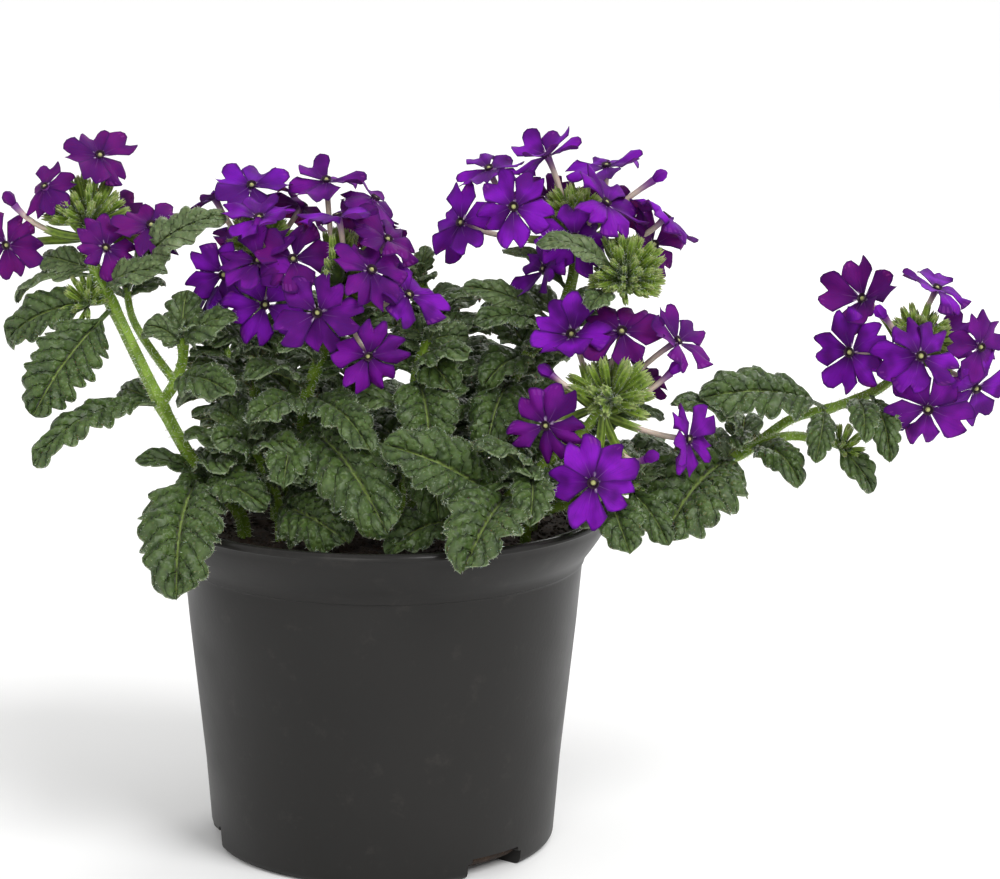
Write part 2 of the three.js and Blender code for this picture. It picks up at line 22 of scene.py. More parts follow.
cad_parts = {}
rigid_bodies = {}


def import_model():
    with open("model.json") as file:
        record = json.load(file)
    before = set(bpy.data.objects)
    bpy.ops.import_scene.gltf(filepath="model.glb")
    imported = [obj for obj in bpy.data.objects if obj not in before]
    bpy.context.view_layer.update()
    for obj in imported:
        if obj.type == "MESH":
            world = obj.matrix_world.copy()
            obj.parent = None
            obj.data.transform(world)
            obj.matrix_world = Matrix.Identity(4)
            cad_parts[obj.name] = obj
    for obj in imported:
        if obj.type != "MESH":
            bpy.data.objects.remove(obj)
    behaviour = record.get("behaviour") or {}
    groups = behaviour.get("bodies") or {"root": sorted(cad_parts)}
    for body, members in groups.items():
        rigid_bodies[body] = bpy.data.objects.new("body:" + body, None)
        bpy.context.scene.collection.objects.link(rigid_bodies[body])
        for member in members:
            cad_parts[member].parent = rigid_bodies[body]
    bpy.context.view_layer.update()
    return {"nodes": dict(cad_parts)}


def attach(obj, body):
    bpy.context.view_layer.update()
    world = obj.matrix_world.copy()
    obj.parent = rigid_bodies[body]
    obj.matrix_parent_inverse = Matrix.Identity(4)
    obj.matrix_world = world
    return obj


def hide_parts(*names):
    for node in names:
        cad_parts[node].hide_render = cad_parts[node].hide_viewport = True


for thing in list(bpy.data.objects):
    bpy.data.objects.remove(thing)
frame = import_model()
MM = 0.001
print("nodes in the packed model:", len(frame["nodes"]))

# %% [markdown]
# ## Camera, floor and light
#
# The plant stands on a plain pale floor and is seen from a little above, with
# a long lens so that the pot's rim stays a calm ellipse. The key light comes
# from the right in front, as soft as daylight through a blind. One large lamp
# fills in from the left, and one behind the plant lights the edges of leaves
# and pot. The pale sky evens out the shadows between the leaves.

# %% Camera
CAMERA_PLACE = Vector((0.0329, -0.900, 0.3036))
CAMERA_PITCH = 0.2055        # radians down from level
CAMERA_ROLL = 0.0082
CAMERA_LENS = 117.04         # millimetres, on a sensor 36 mm wide

scene = bpy.context.scene
camera_data = bpy.data.cameras.new("camera")
camera_data.sensor_width = 36
camera_data.lens = CAMERA_LENS
camera_data.clip_start = 0.01
camera = bpy.data.objects.new("camera", camera_data)
camera.location = CAMERA_PLACE
camera.rotation_mode = "XYZ"
camera.rotation_euler = (math.pi / 2 - CAMERA_PITCH, 0, 0)
camera.rotation_euler.rotate_axis("Z", CAMERA_ROLL)
scene.collection.objects.link(camera)
scene.camera = camera

# %% Floor, sky and lamps
FLOOR_HALF = 15.0


def area_lamp(name, place, target, size, power, colour):
    """A square soft lamp that looks at a point."""
    data = bpy.data.lights.new(name, "AREA")
    data.size = size
    data.energy = power
    data.color = colour
    lamp = bpy.data.objects.new(name, data)
    lamp.location = place
    aim = Vector(target) - Vector(place)
    lamp.rotation_euler = aim.to_track_quat("-Z", "Y").to_euler()
    scene.collection.objects.link(lamp)


floor_mesh = bpy.data.meshes.new("floor")
h = FLOOR_HALF
floor_mesh.from_pydata([(-h, -h, 0), (h, -h, 0), (h, h, 0), (-h, h, 0)], [], [(0, 1, 2, 3)])
floor = bpy.data.objects.new("floor", floor_mesh)
scene.collection.objects.link(floor)

scene.world = bpy.data.worlds.new("sky")
scene.world.use_nodes = True
sky = scene.world.node_tree.nodes["Background"]
sky.inputs["Color"].default_value = (1.0, 1.0, 1.0, 1.0)
sky.inputs["Strength"].default_value = 0.74

key_data = bpy.data.lights.new("key", "SUN")
key_data.energy = 2.0
key_data.angle = 0.5
key_light = bpy.data.objects.new("key", key_data)
key_light.rotation_euler = Vector((-0.6, 0.62, -0.85)).to_track_quat("-Z", "Y").to_euler()
scene.collection.objects.link(key_light)
area_lamp("front", (-0.4, -1.6, 0.8), (0, 0, 0.12), 0.6, 5, (1.0, 0.99, 0.97))
area_lamp("back", (0.6, 1.2, 1.1), (0, 0, 0.15), 0.8, 8, (1.0, 0.99, 0.97))
scene.view_settings.view_transform = "Standard"
print("camera, floor and lamps are set")

# %% [markdown]
# ## Finishes
#
# Every finish is a small network of nodes that ends in one Principled shader.
# A helper adds a node and fills in its inputs, where a value is a number, a
# colour or the output of another node. Patterns read either the place on the
# object or the leaf's own surface coordinates, so they stay put from any side.

# %% Helpers for finishes
def node(tree, kind, inputs=(), **settings):
    """Adds a node, with its settings and its inputs filled in."""
    new = tree.nodes.new(kind)
    for name, value in settings.items():
        setattr(new, name, value)
    for key, value in dict(inputs).items():
        if isinstance(value, bpy.types.NodeSocket):
            tree.links.new(value, new.inputs[key])
        else:
            new.inputs[key].default_value = value
    return new


def maths(tree, operation, first, second=0.0):
    """One step of arithmetic, with one number or two."""
    return node(tree, "ShaderNodeMath", {0: first, 1: second}, operation=operation).outputs[0]


def times(tree, first, second):
    return maths(tree, "MULTIPLY", first, second)


def blend(tree, share, first, second):
    """A share of the second colour laid over the first."""
    mix = node(tree, "ShaderNodeMix", {0: share, 6: first, 7: second}, data_type="RGBA")
    return mix.outputs[2]


def ramp(tree, value, low, high, start=0.0, end=1.0):
    """A smooth step of a value, from start at low to end at high."""
    inputs = {0: value, 1: low, 2: high, 3: start, 4: end}
    return node(tree, "ShaderNodeMapRange", inputs, interpolation_type="SMOOTHSTEP").outputs[0]


def speckle(tree, place, scale, detail=3.0, roughness=0.55):
    """Soft noise; its scale is in spots to a metre."""
    inputs = {"Vector": place, "Scale": scale, "Detail": detail, "Roughness": roughness}
    return node(tree, "ShaderNodeTexNoise", inputs).outputs["Fac"]


def new_finish(name, roughness, **fixed):
    """A material with its shader and the place on the object."""
    material = bpy.data.materials.new(name)
    material.use_nodes = True
    tree = material.node_tree
    shader = tree.nodes["Principled BSDF"]
    shader.inputs["Roughness"].default_value = roughness
    for key, value in fixed.items():
        shader.inputs[key.replace("_", " ")].default_value = value
    place = node(tree, "ShaderNodeTexCoord").outputs["Object"]
    return material, tree, shader, place


def mark_of(tree, name):
    """A mark that the mesh carries, such as the tone of a leaf."""
    return node(tree, "ShaderNodeAttribute", attribute_name=name).outputs["Fac"]


def bump(tree, height, strength, distance, under=None):
    """Relief from a height, laid over other relief if there is some."""
    inputs = {"Height": height, "Strength": strength, "Distance": distance}
    if under is not None:
        inputs["Normal"] = under
    return node(tree, "ShaderNodeBump", inputs).outputs[0]


def wire_up(tree, shader, colour, relief):
    tree.links.new(colour, shader.inputs["Base Color"])
    tree.links.new(relief, shader.inputs["Normal"])


print("finish helpers ready")

# %% [markdown]
# ### Moulded plastic
#
# A nursery pot is thin black polypropylene. It comes out of its mould with a
# faint orange-peel grain, and in use it picks up dust and fine scuffs. Noise
# at three sizes gives the grain, the cloudy sheen and the dust, and the lip is
# polished by handling.

# %% Pot finish
LIP_LEVEL = (0.0955, 0.0975)  # metres, from where to where the lip turns glossy


def pot_finish():
    material, tree, shader, place = new_finish("pot_plastic", 0.42, Specular_IOR_Level=0.25)
    cloud = speckle(tree, place, 22.0, 4.0)
    grain = speckle(tree, place, 900.0, 2.0)
    dust = ramp(tree, speckle(tree, place, 130.0, 6.0, 0.7), 0.56, 0.74)
    base = blend(tree, cloud, (0.0095, 0.009, 0.0083, 1), (0.0165, 0.0156, 0.0146, 1))
    dusty = blend(tree, times(tree, dust, 0.35), base, (0.04, 0.036, 0.032, 1))
    level = node(tree, "ShaderNodeSeparateXYZ", {0: place}).outputs[2]
    lip = ramp(tree, level, *LIP_LEVEL)
    worn = times(tree, lip, -0.22)
    dull = ramp(tree, cloud, 0.3, 0.7, 0.36, 0.5)
    tree.links.new(maths(tree, "ADD", dull, worn), shader.inputs["Roughness"])
    wire_up(tree, shader, dusty, bump(tree, grain, 0.25, 0.0001))
    return material


pot_plastic = pot_finish()
print("made", pot_plastic.name)

# %% [markdown]
# ### Compost
#
# Peat compost is a mix of dark fibres and paler crumbs of bark. The crumbs
# are real shapes further on, and the finish only gives each spot its brown.

# %% Soil finish
def soil_finish():
    material, tree, shader, place = new_finish("compost", 0.95)
    blotch = ramp(tree, speckle(tree, place, 260.0, 5.0, 0.7), 0.35, 0.7)
    fibre = ramp(tree, speckle(tree, place, 1400.0, 3.0), 0.5, 0.75)
    dark = blend(tree, blotch, (0.012, 0.0065, 0.0038, 1), (0.045, 0.025, 0.014, 1))
    colour = blend(tree, times(tree, fibre, 0.5), dark, (0.12, 0.07, 0.038, 1))
    wire_up(tree, shader, colour, bump(tree, fibre, 0.8, 0.0004))
    return material


compost = soil_finish()
print("made", compost.name)

# %% [markdown]
# ### Leaf
#
# A verbena leaf is dark grey-green, puckered between sunken veins, and downy,
# most of all along its margin, which looks edged in white. The veins follow
# the blade, so the finish reads the blade's own coordinates: across from edge
# to edge, and along in teeth, so that each side vein ends in one tooth.

# %% Leaf finish
VEIN_SWEEP = 1.9             # how many teeth a side vein passes on its way out
VEIN_START = 0.65            # where in a tooth its tip stands
NET_SCALE = 520.0            # cells of the finest net of veins to a metre


def leaf_finish():
    material, tree, shader, place = new_finish(
        "leaf_green", 0.46, Subsurface_Weight=0.05, Subsurface_Scale=0.001,
        Specular_IOR_Level=0.42, Sheen_Weight=0.07, Sheen_Roughness=0.35)
    blade = node(tree, "ShaderNodeUVMap", uv_map="blade").outputs[0]
    axes = node(tree, "ShaderNodeSeparateXYZ", {0: blade})

    # veins: a midrib, and side veins that sweep forward into the teeth
    across = maths(tree, "ABSOLUTE", maths(tree, "SUBTRACT", axes.outputs[0], 0.5))
    across = times(tree, across, 2.0)
    sweep = times(tree, maths(tree, "SUBTRACT", 1.0, across), VEIN_SWEEP)
    phase = maths(tree, "ADD", axes.outputs[1], sweep)
    phase = maths(tree, "SUBTRACT", phase, VEIN_START)
    gap = maths(tree, "PINGPONG", phase, 0.5)
    side_vein = ramp(tree, gap, 0.01, 0.07, 1.0, 0.0)
    crest_light = ramp(tree, gap, 0.1, 0.42)
    rib = ramp(tree, across, 0.02, 0.08, 1.0, 0.0)
    vein = maths(tree, "MAXIMUM", times(tree, side_vein, 0.75), rib)
    net_inputs = {"Vector": place, "Scale": NET_SCALE}
    edges = node(tree, "ShaderNodeTexVoronoi", net_inputs,
                 feature="DISTANCE_TO_EDGE").outputs["Distance"]
    net = ramp(tree, edges, 0.0, 0.3, 1.0, 0.0)
    cells = node(tree, "ShaderNodeTexVoronoi", {**net_inputs, "Smoothness": 0.3},
                 feature="SMOOTH_F1").outputs["Distance"]

    # colours: old and young green, then a painted highlight on the raised tissue between the veins,
    # painted shade in the sunken veins and net, the pale midrib and the downy margin
    tone = mark_of(tree, "tone")
    upper = mark_of(tree, "upper")
    mottle = ramp(tree, speckle(tree, place, 260.0, 3.0, 0.5), 0.3, 0.7)
    old = blend(tree, mottle, (0.018, 0.041, 0.004, 1), (0.06, 0.109, 0.015, 1))
    young = blend(tree, mottle, (0.075, 0.12, 0.036, 1), (0.165, 0.215, 0.095, 1))
    green = blend(tree, tone, old, young)
    below = blend(tree, upper, (0.12, 0.17, 0.075, 1), green)
    # painted highlight: the raised tissue between the side veins is lightened as if it caught the
    # light
    raised = blend(tree, times(tree, crest_light, 0.33), below, (0.105, 0.16, 0.055, 1))
    # painted shade: the sunken side veins and the fine net of veins are darkened as if shaded in
    # their grooves
    groove_shade = maths(tree, "MAXIMUM", times(tree, side_vein, 0.3),
                   times(tree, net, 0.2))
    sunken = blend(tree, groove_shade, raised, (0.012, 0.022, 0.006, 1))
    veined = blend(tree, times(tree, rib, 0.6), sunken, (0.26, 0.35, 0.09, 1))
    down = ramp(tree, across, 0.96, 1.0, 0.0, 0.3)
    colour = blend(tree, down, veined, (0.33, 0.4, 0.24, 1))

    # relief: furrows of the veins, puckers of the net and a fine fuzz
    furrow = bump(tree, maths(tree, "SUBTRACT", 1.0, vein), 1.0, 0.0009)
    pucker = bump(tree, ramp(tree, cells, 0.0, 0.65, 1.0, 0.0), 0.8, 0.00075, furrow)
    fuzz = bump(tree, speckle(tree, place, 2600.0, 2.0), 0.35, 0.0002, pucker)
    wire_up(tree, shader, colour, fuzz)
    return material


leaf_green = leaf_finish()
print("made", leaf_green.name)

# %% [markdown]
# ### Stems, buds and down
#
# Stems are a fresher yellow-green than the leaves, with fine streaks along
# them. The buds share that green, paler towards the teeth of each calyx and
# darkened towards its foot by painted shade. The down that covers both is
# made of tiny pale hairs.

# %% Stem, bud and hair finishes
def stem_finish():
    material, tree, shader, place = new_finish(
        "stem_green", 0.5, Subsurface_Weight=0.1, Subsurface_Scale=0.001,
        Specular_IOR_Level=0.3)
    streak = ramp(tree, speckle(tree, place, 300.0, 4.0), 0.3, 0.7)
    colour = blend(tree, streak, (0.11, 0.195, 0.013, 1), (0.21, 0.33, 0.035, 1))
    wire_up(tree, shader, colour, bump(tree, speckle(tree, place, 1800.0), 0.4, 0.0002))
    return material


def bud_finish():
    material, tree, shader, place = new_finish(
        "bud_green", 0.55, Subsurface_Weight=0.08, Subsurface_Scale=0.001,
        Specular_IOR_Level=0.3, Sheen_Weight=0.08, Sheen_Roughness=0.5)
    height = mark_of(tree, "height")
    ridge = mark_of(tree, "ridge")
    spot = ramp(tree, speckle(tree, place, 700.0, 3.0), 0.35, 0.65)
    base = blend(tree, spot, (0.035, 0.075, 0.003, 1), (0.12, 0.2, 0.01, 1))
    # painted shade: each calyx darkens towards its foot, where the buds of a dome would shade each
    # other
    base = blend(tree, ramp(tree, height, 0.1, 0.75, 0.75, 0.0), base, (0.015, 0.032, 0.002, 1))
    ribbed = blend(tree, times(tree, ridge, 0.55), base, (0.28, 0.4, 0.05, 1))
    tipped = ramp(tree, height, 0.8, 1.0, 0.0, 0.55)
    colour = blend(tree, tipped, ribbed, (0.4, 0.46, 0.2, 1))
    wire_up(tree, shader, colour, bump(tree, speckle(tree, place, 2400.0), 0.4, 0.00015))
    return material


def hair_finish():
    material, tree, shader, place = new_finish(
        "plant_down", 0.45, Subsurface_Weight=0.2, Subsurface_Scale=0.001)
    shade = speckle(tree, place, 200.0)
    colour = blend(tree, shade, (0.55, 0.6, 0.42, 1), (0.8, 0.83, 0.7, 1))
    tree.links.new(colour, shader.inputs["Base Color"])
    return material


stem_green = stem_finish()
bud_green = bud_finish()
plant_down = hair_finish()
print("made", stem_green.name, bud_green.name, plant_down.name)

# %% [markdown]
# ### Petals, tubes and eyes
#
# A petal is velvety violet: darkened near the eye by painted shade where its
# claw dips into the throat, bright in the middle and dark again in a thin
# line along its margin, with fine veins that run from the claw to the edge.
# Each floret leans towards blue or towards magenta. The corolla tube behind
# it is pale pink, and the eye is a dark ring round a small tuft of
# yellow-green hairs.

# %% Petal finish
def petal_finish():
    material, tree, shader, place = new_finish(
        "petal_violet", 0.7, Subsurface_Weight=0.06, Subsurface_Scale=0.0008,
        Specular_IOR_Level=0.12, Sheen_Weight=0.03, Sheen_Roughness=0.4,
        Sheen_Tint=(0.7, 0.4, 1.0, 1))
    blade = node(tree, "ShaderNodeUVMap", uv_map="blade").outputs[0]
    axes = node(tree, "ShaderNodeSeparateXYZ", {0: blade})
    reach = axes.outputs[1]
    across = times(tree, maths(tree, "SUBTRACT", axes.outputs[0], 0.5), 2.0)
    side = maths(tree, "ABSOLUTE", across)
    tone = mark_of(tree, "tone")
    upper = mark_of(tree, "upper")

    # violet between a warm and a cool end, patchy, and darkened near the eye with painted shade
    warm = ramp(tree, tone, 0.55, 1.0)
    cool = ramp(tree, tone, 0.45, 0.0)
    violet = blend(tree, warm, (0.18, 0.005, 0.38, 1), (0.11, 0.003, 0.13, 1))
    violet = blend(tree, cool, violet, (0.12, 0.005, 0.34, 1))
    patch = ramp(tree, speckle(tree, place, 95.0, 2.0), 0.38, 0.62, 0.0, 0.8)
    violet = blend(tree, patch, violet, (0.05, 0.002, 0.095, 1))
    # painted shade: the claw is darkened towards the eye, where it dips into the throat
    shade_fade = ramp(tree, reach, 0.0, 0.5, 0.1, 1.0)
    eye_shaded = blend(tree, shade_fade, (0.03, 0.001, 0.06, 1), violet)

    # fine veins, the dark margin, pale flecks by the claw and a midline
    stripe = {0: times(tree, across, 6.0), 1: times(tree, reach, 0.8), 2: tone}
    stripe = node(tree, "ShaderNodeCombineXYZ", stripe).outputs[0]
    streak = speckle(tree, stripe, 2.2, 3.0)
    lined = blend(tree, ramp(tree, streak, 0.5, 0.75, 0.0, 0.45), eye_shaded, (0.06, 0.004, 0.17, 1))
    edge = maths(tree, "MAXIMUM", ramp(tree, side, 0.86, 1.0), ramp(tree, reach, 0.9, 1.0))
    edged = blend(tree, times(tree, edge, 0.85), lined, (0.03, 0.002, 0.075, 1))
    claw = times(tree, ramp(tree, reach, 0.03, 0.13, 1.0, 0.0), ramp(tree, side, 0.5, 0.95))
    fleck = times(tree, claw, ramp(tree, speckle(tree, place, 500.0), 0.45, 0.6))
    flecked = blend(tree, times(tree, fleck, 0.8), edged, (0.66, 0.5, 0.72, 1))
    midline = times(tree, ramp(tree, side, 0.0, 0.05, 1.0, 0.0),
                    ramp(tree, reach, 0.1, 0.5, 0.18, 0.0))
    flecked = blend(tree, midline, flecked, (0.45, 0.25, 0.6, 1))

    # the under side is paler, and both sides are velvety
    under = blend(tree, 0.35, flecked, (0.2, 0.035, 0.27, 1))
    colour = blend(tree, upper, under, flecked)
    vein_relief = bump(tree, streak, 0.35, 0.0003)
    velvet = bump(tree, speckle(tree, place, 3200.0), 0.3, 0.00012, vein_relief)
    wire_up(tree, shader, colour, velvet)
    return material


petal_violet = petal_finish()
print("made", petal_violet.name)

# %% Tube, eye and floor finishes
def tube_finish():
    material, tree, shader, place = new_finish(
        "tube_pale", 0.45, Subsurface_Weight=0.15, Subsurface_Scale=0.001)
    height = mark_of(tree, "height")
    blush = speckle(tree, place, 500.0)
    pale = blend(tree, blush, (0.5, 0.36, 0.34, 1), (0.62, 0.55, 0.4, 1))
    throat = ramp(tree, height, 0.72, 0.98)
    colour = blend(tree, throat, pale, (0.16, 0.03, 0.22, 1))
    wire_up(tree, shader, colour, bump(tree, blush, 0.3, 0.0001))
    return material


def eye_finish():
    material, tree, shader, place = new_finish("eye_centre", 0.6)
    height = mark_of(tree, "height")
    tuft = speckle(tree, place, 2500.0)
    pale = blend(tree, tuft, (0.22, 0.24, 0.06, 1), (0.5, 0.5, 0.22, 1))
    colour = blend(tree, ramp(tree, height, 0.35, 0.6), pale, (0.02, 0.002, 0.02, 1))
    wire_up(tree, shader, colour, bump(tree, tuft, 0.5, 0.0002))
    return material


tube_pale = tube_finish()
eye_centre = eye_finish()
floor_paper = new_finish("floor_paper", 0.9, Base_Color=(0.86, 0.86, 0.86, 1))[0]
floor.data.materials.append(floor_paper)
print("made", tube_pale.name, eye_centre.name, floor_paper.name)

# %% [markdown]
# ## From points to pieces
#
# Large meshes are quick to make when their points and faces stay in arrays.
# A skin gathers the patches of one piece, such as all leaves of a shoot, with
# the surface coordinates and the marks that its finish reads. The finished
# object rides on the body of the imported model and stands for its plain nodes.

# %% A skin of many patches
class Skin:
    """Gathers points, faces, blade coordinates and marks of one piece."""

    def __init__(self):
        self.points, self.faces, self.blades, self.marks = [], [], [], {}
        self.count = 0

    def add(self, points, faces, blade=None, **marks):
        """Adds one patch; its faces count its own points from 0."""
        points = np.asarray(points, float).reshape(-1, 3)
        self.points.append(points)
        self.faces += [np.asarray(patch) + self.count for patch in faces]
        if blade is not None:
            self.blades.append(np.asarray(blade, float).reshape(-1, 2))
        for name, value in marks.items():
            value = np.broadcast_to(np.asarray(value, float).ravel(), len(points))
            self.marks.setdefault(name, []).append(value)
        self.count += len(points)

    def mesh(self, name):
        """All patches as one mesh, in metres."""
        points = np.concatenate(self.points) * MM
        corners = np.concatenate([patch.ravel() for patch in self.faces])
        sizes = np.concatenate([np.full(len(patch), patch.shape[1]) for patch in self.faces])
        starts = np.concatenate([[0], np.cumsum(sizes)[:-1]])
        made = bpy.data.meshes.new(name)
        made.vertices.add(len(points))
        made.vertices.foreach_set("co", points.ravel())
        made.loops.add(len(corners))
        made.loops.foreach_set("vertex_index", corners.astype(np.int32))
        made.polygons.add(len(sizes))
        made.polygons.foreach_set("loop_start", starts.astype(np.int32))
        made.update(calc_edges=True)
        if self.blades:
            blade = np.concatenate(self.blades)[corners]
            made.uv_layers.new(name="blade").uv.foreach_set("vector", blade.ravel())
        for mark, values in self.marks.items():
            attribute = made.attributes.new(mark, "FLOAT", "POINT")
            attribute.data.foreach_set("value", np.concatenate(values).astype(np.float32))
        return made


print("a skin gathers points, faces, blade coordinates and marks")

# %% Faces of grids, plates and tubes
def grid_faces(rows, columns, closed=False):
    """Quads of a grid of points; closed joins the last column to the first."""
    across = columns if closed else columns - 1
    r, c = np.meshgrid(np.arange(rows - 1), np.arange(across), indexing="ij")
    n = (c + 1) % columns
    quads = [r * columns + c, r * columns + n, (r + 1) * columns + n, (r + 1) * columns + c]
    return np.stack(quads, -1).reshape(-1, 4)


def plate_faces(rows, columns):
    """Faces of a closed thin plate: upper grid, lower grid and the rim."""
    upper = grid_faces(rows, columns)
    lower = upper[:, ::-1] + rows * columns
    first = np.arange(columns)
    right = np.arange(1, rows) * columns + columns - 1
    last = (rows - 1) * columns + np.arange(columns - 2, -1, -1)
    left = np.arange(rows - 2, 0, -1) * columns
    loop = np.concatenate([first, right, last, left])
    ahead = np.roll(loop, -1)
    below = rows * columns
    rim = np.stack([ahead, loop, loop + below, ahead + below], -1)
    return [upper, lower, rim]


def sleeve(rings, skin, **marks):
    """A closed tube through rings of points, with a flat cap at each end."""
    rows, columns = rings.shape[:2]
    caps = [np.arange(columns)[None, ::-1], ((rows - 1) * columns + np.arange(columns))[None]]
    skin.add(rings, [grid_faces(rows, columns, closed=True), *caps], **marks)


print("a grid of 3 by 3 points has", len(grid_faces(3, 3)), "faces")

# %% From mesh to piece
def finish_piece(name, mesh, material, nodes=(), sharp=50):
    """Makes a piece of the object from its mesh and hands it to the frame."""
    mesh.materials.clear()
    mesh.materials.append(material)
    mesh.shade_smooth()
    mesh.set_sharp_from_angle(angle=math.radians(sharp))
    piece = bpy.data.objects.new(name, mesh)
    scene.collection.objects.link(piece)
    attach(piece, "root")
    if nodes:
        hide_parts(*nodes)
    return piece


print("pieces can be finished")

# %% [markdown]
# ## Pot
#
# The pot is one turned outline: a foot with a small round, a long tapered
# wall, the step under the rim band, the band itself and a rounded lip. Three
# drain notches are cut through the foot and roofed, so that water can leave
# while the compost stays in. A turned shape is a lathe job, and the notches
# are boolean cuts, just as a mould maker would cut them.

# %% Turn the pot
POT_HEIGHT = 98.0
RIM_RADIUS = 65.0
FOOT_RADIUS = 49.2
BAND_BOTTOM = 83.3
BAND_RADIUS = 57.9           # of the rim band at its lower end
BAND_RISE = 11.3
FOOT_ROUND = 2.3
WALL = 1.5
POT_SIDES = 144


def arc(centre, radius, start, end, steps):
    """Points on an arc of a turned outline; angles are in degrees."""
    angles = np.radians(np.linspace(start, end, steps))
    return [(centre[0] + radius * math.cos(a), centre[1] + radius * math.sin(a)) for a in angles]


def turned(outline, sides, skin, **marks):
    """A closed solid turned round the Z axis; the outline starts and ends on it."""
    ring = np.linspace(0, 2 * math.pi, sides, endpoint=False)
    body = np.array(outline[1:-1])
    x = body[:, :1] * np.cos(ring)
    y = body[:, :1] * np.sin(ring)
    z = np.repeat(body[:, 1:], sides, 1)
    points = np.concatenate([np.stack([x, y, z], -1).reshape(-1, 3),
                             [(0, 0, outline[0][1]), (0, 0, outline[-1][1])]])
    low, high = len(points) - 2, len(points) - 1
    around = np.arange(sides)
    ahead = (around + 1) % sides
    top = (len(body) - 1) * sides
    foot_fan = np.stack([np.full(sides, low), ahead, around], -1)
    top_fan = np.stack([np.full(sides, high), top + around, top + ahead], -1)
    skin.add(points, [grid_faces(len(body), sides, closed=True), foot_fan, top_fan], **marks)


# the outline runs from under the foot up the outside and down the inside
band_run = RIM_RADIUS - 0.6 - BAND_RADIUS
band = [(BAND_RADIUS + band_run * (1 - (1 - k) ** 1.4), BAND_BOTTOM + 1.0 + BAND_RISE * k)
        for k in np.linspace(0, 1, 9)]
wall = [(50.9, 24), (53.1, 45), (55.1, 64), (56.6, BAND_BOTTOM - 2.4)]
step = [*arc((57.6, BAND_BOTTOM - 1.9), 1.0, 180, 110, 4), (57.5, BAND_BOTTOM)]
lip = arc((RIM_RADIUS - 1.6, POT_HEIGHT - 1.7), 1.6, -6, 170, 10)
inside = [(RIM_RADIUS - 3.6, 95.0), (61.0, 92.0), (57.2, BAND_BOTTOM + 2.0),
          (55.5, BAND_BOTTOM), (FOOT_RADIUS - WALL, 3.6), (FOOT_RADIUS - 3.4, 1.8)]
pot_outline = [
    (0, 0), (FOOT_RADIUS - 2.6, 0),
    *arc((FOOT_RADIUS - FOOT_ROUND, FOOT_ROUND), FOOT_ROUND, -80, -4, 6),
    *wall, *step, *band, *lip, *inside, (0, 1.8),
]
pot_skin = Skin()
turned(pot_outline, POT_SIDES, pot_skin)
pot_blank = bpy.data.objects.new("pot_blank", pot_skin.mesh("pot_blank"))
scene.collection.objects.link(pot_blank)
print("pot outline points:", len(pot_outline))

# %% Tools for the drain notches
POCKET_ANGLES = [-48, -168, 72]  # degrees round the foot
POCKET_WIDTH = 20.0
POCKET_HEIGHT = 5.8
POCKET_DEPTH = 12.0
POCKET_FLARE = 0.2           # how much wider a notch grows outwards, each side
DRAIN_RADIUS = 3.0
DRAIN_PLACE = 43.0           # from the middle of the pot
CUT_ROUND = 1.4              # the round on a notch's upper edges


def cutter(name, angle, grown, outer, bottom, slant):
    """A block across the foot at one notch, wider outwards, with rounded upper edges."""
    tool = bmesh.new()
    bmesh.ops.create_cube(tool, size=1)
    inner = FOOT_RADIUS - POCKET_DEPTH - grown
    height = POCKET_HEIGHT + grown - bottom
    turn = math.radians(angle)
    for corner in tool.verts:
        lean = slant * (corner.co.z - 0.5)
        along = inner + (corner.co.x + 0.5) * (outer + lean - inner)
        flare = POCKET_FLARE * (along - FOOT_RADIUS)
        across = corner.co.y * (POCKET_WIDTH + 2 * grown + 2 * flare)
        corner.co = (along * math.cos(turn) - across * math.sin(turn),
                     along * math.sin(turn) + across * math.cos(turn),
                     bottom + (corner.co.z + 0.5) * (height + 0.4 * flare))
    upper = [e for e in tool.edges if min(v.co.z for v in e.verts) > bottom + 1]
    bmesh.ops.bevel(tool, geom=upper, offset=CUT_ROUND, segments=3, affect="EDGES")
    bmesh.ops.recalc_face_normals(tool, faces=tool.faces)
    bmesh.ops.scale(tool, vec=(MM, MM, MM), verts=tool.verts)
    mesh = bpy.data.meshes.new(name)
    tool.to_mesh(mesh)
    tool.free()
    block = bpy.data.objects.new(name, mesh)
    scene.collection.objects.link(block)
    return block


def boolean(target, tool, operation):
    change = target.modifiers.new(tool.name, "BOOLEAN")
    change.operation = operation
    change.solver = "EXACT"
    change.object = tool


print("notches to cut:", len(POCKET_ANGLES))

# %% Cut the drain notches
tools = []
for angle in POCKET_ANGLES:
    turn = math.radians(angle)
    roof = cutter(f"roof_{angle}", angle, grown=WALL, outer=FOOT_RADIUS - 1.6,
                  bottom=0, slant=2.0)
    notch = cutter(f"notch_{angle}", angle, grown=0, outer=FOOT_RADIUS + 6,
                   bottom=-1, slant=0)
    drain_skin = Skin()
    turned([(0, 3), (DRAIN_RADIUS, 3), (DRAIN_RADIUS, 10), (0, 10)], 24, drain_skin)
    drain_mesh = drain_skin.mesh(f"drain_{angle}")
    spot = Vector((math.cos(turn), math.sin(turn), 0)) * DRAIN_PLACE * MM
    drain_mesh.transform(Matrix.Translation(spot))
    drain = bpy.data.objects.new(f"drain_{angle}", drain_mesh)
    scene.collection.objects.link(drain)
    boolean(pot_blank, roof, "UNION")
    boolean(pot_blank, notch, "DIFFERENCE")
    boolean(pot_blank, drain, "DIFFERENCE")
    tools += [roof, notch, drain]

pot_mesh = bpy.data.meshes.new_from_object(
    pot_blank.evaluated_get(bpy.context.evaluated_depsgraph_get()))
pot_mesh.name = "nursery_pot"
for tool in [pot_blank, *tools]:
    bpy.data.objects.remove(tool)
pot = finish_piece("nursery_pot", pot_mesh, pot_plastic, ["pot"], sharp=38)
print("pot faces:", len(pot.data.polygons))

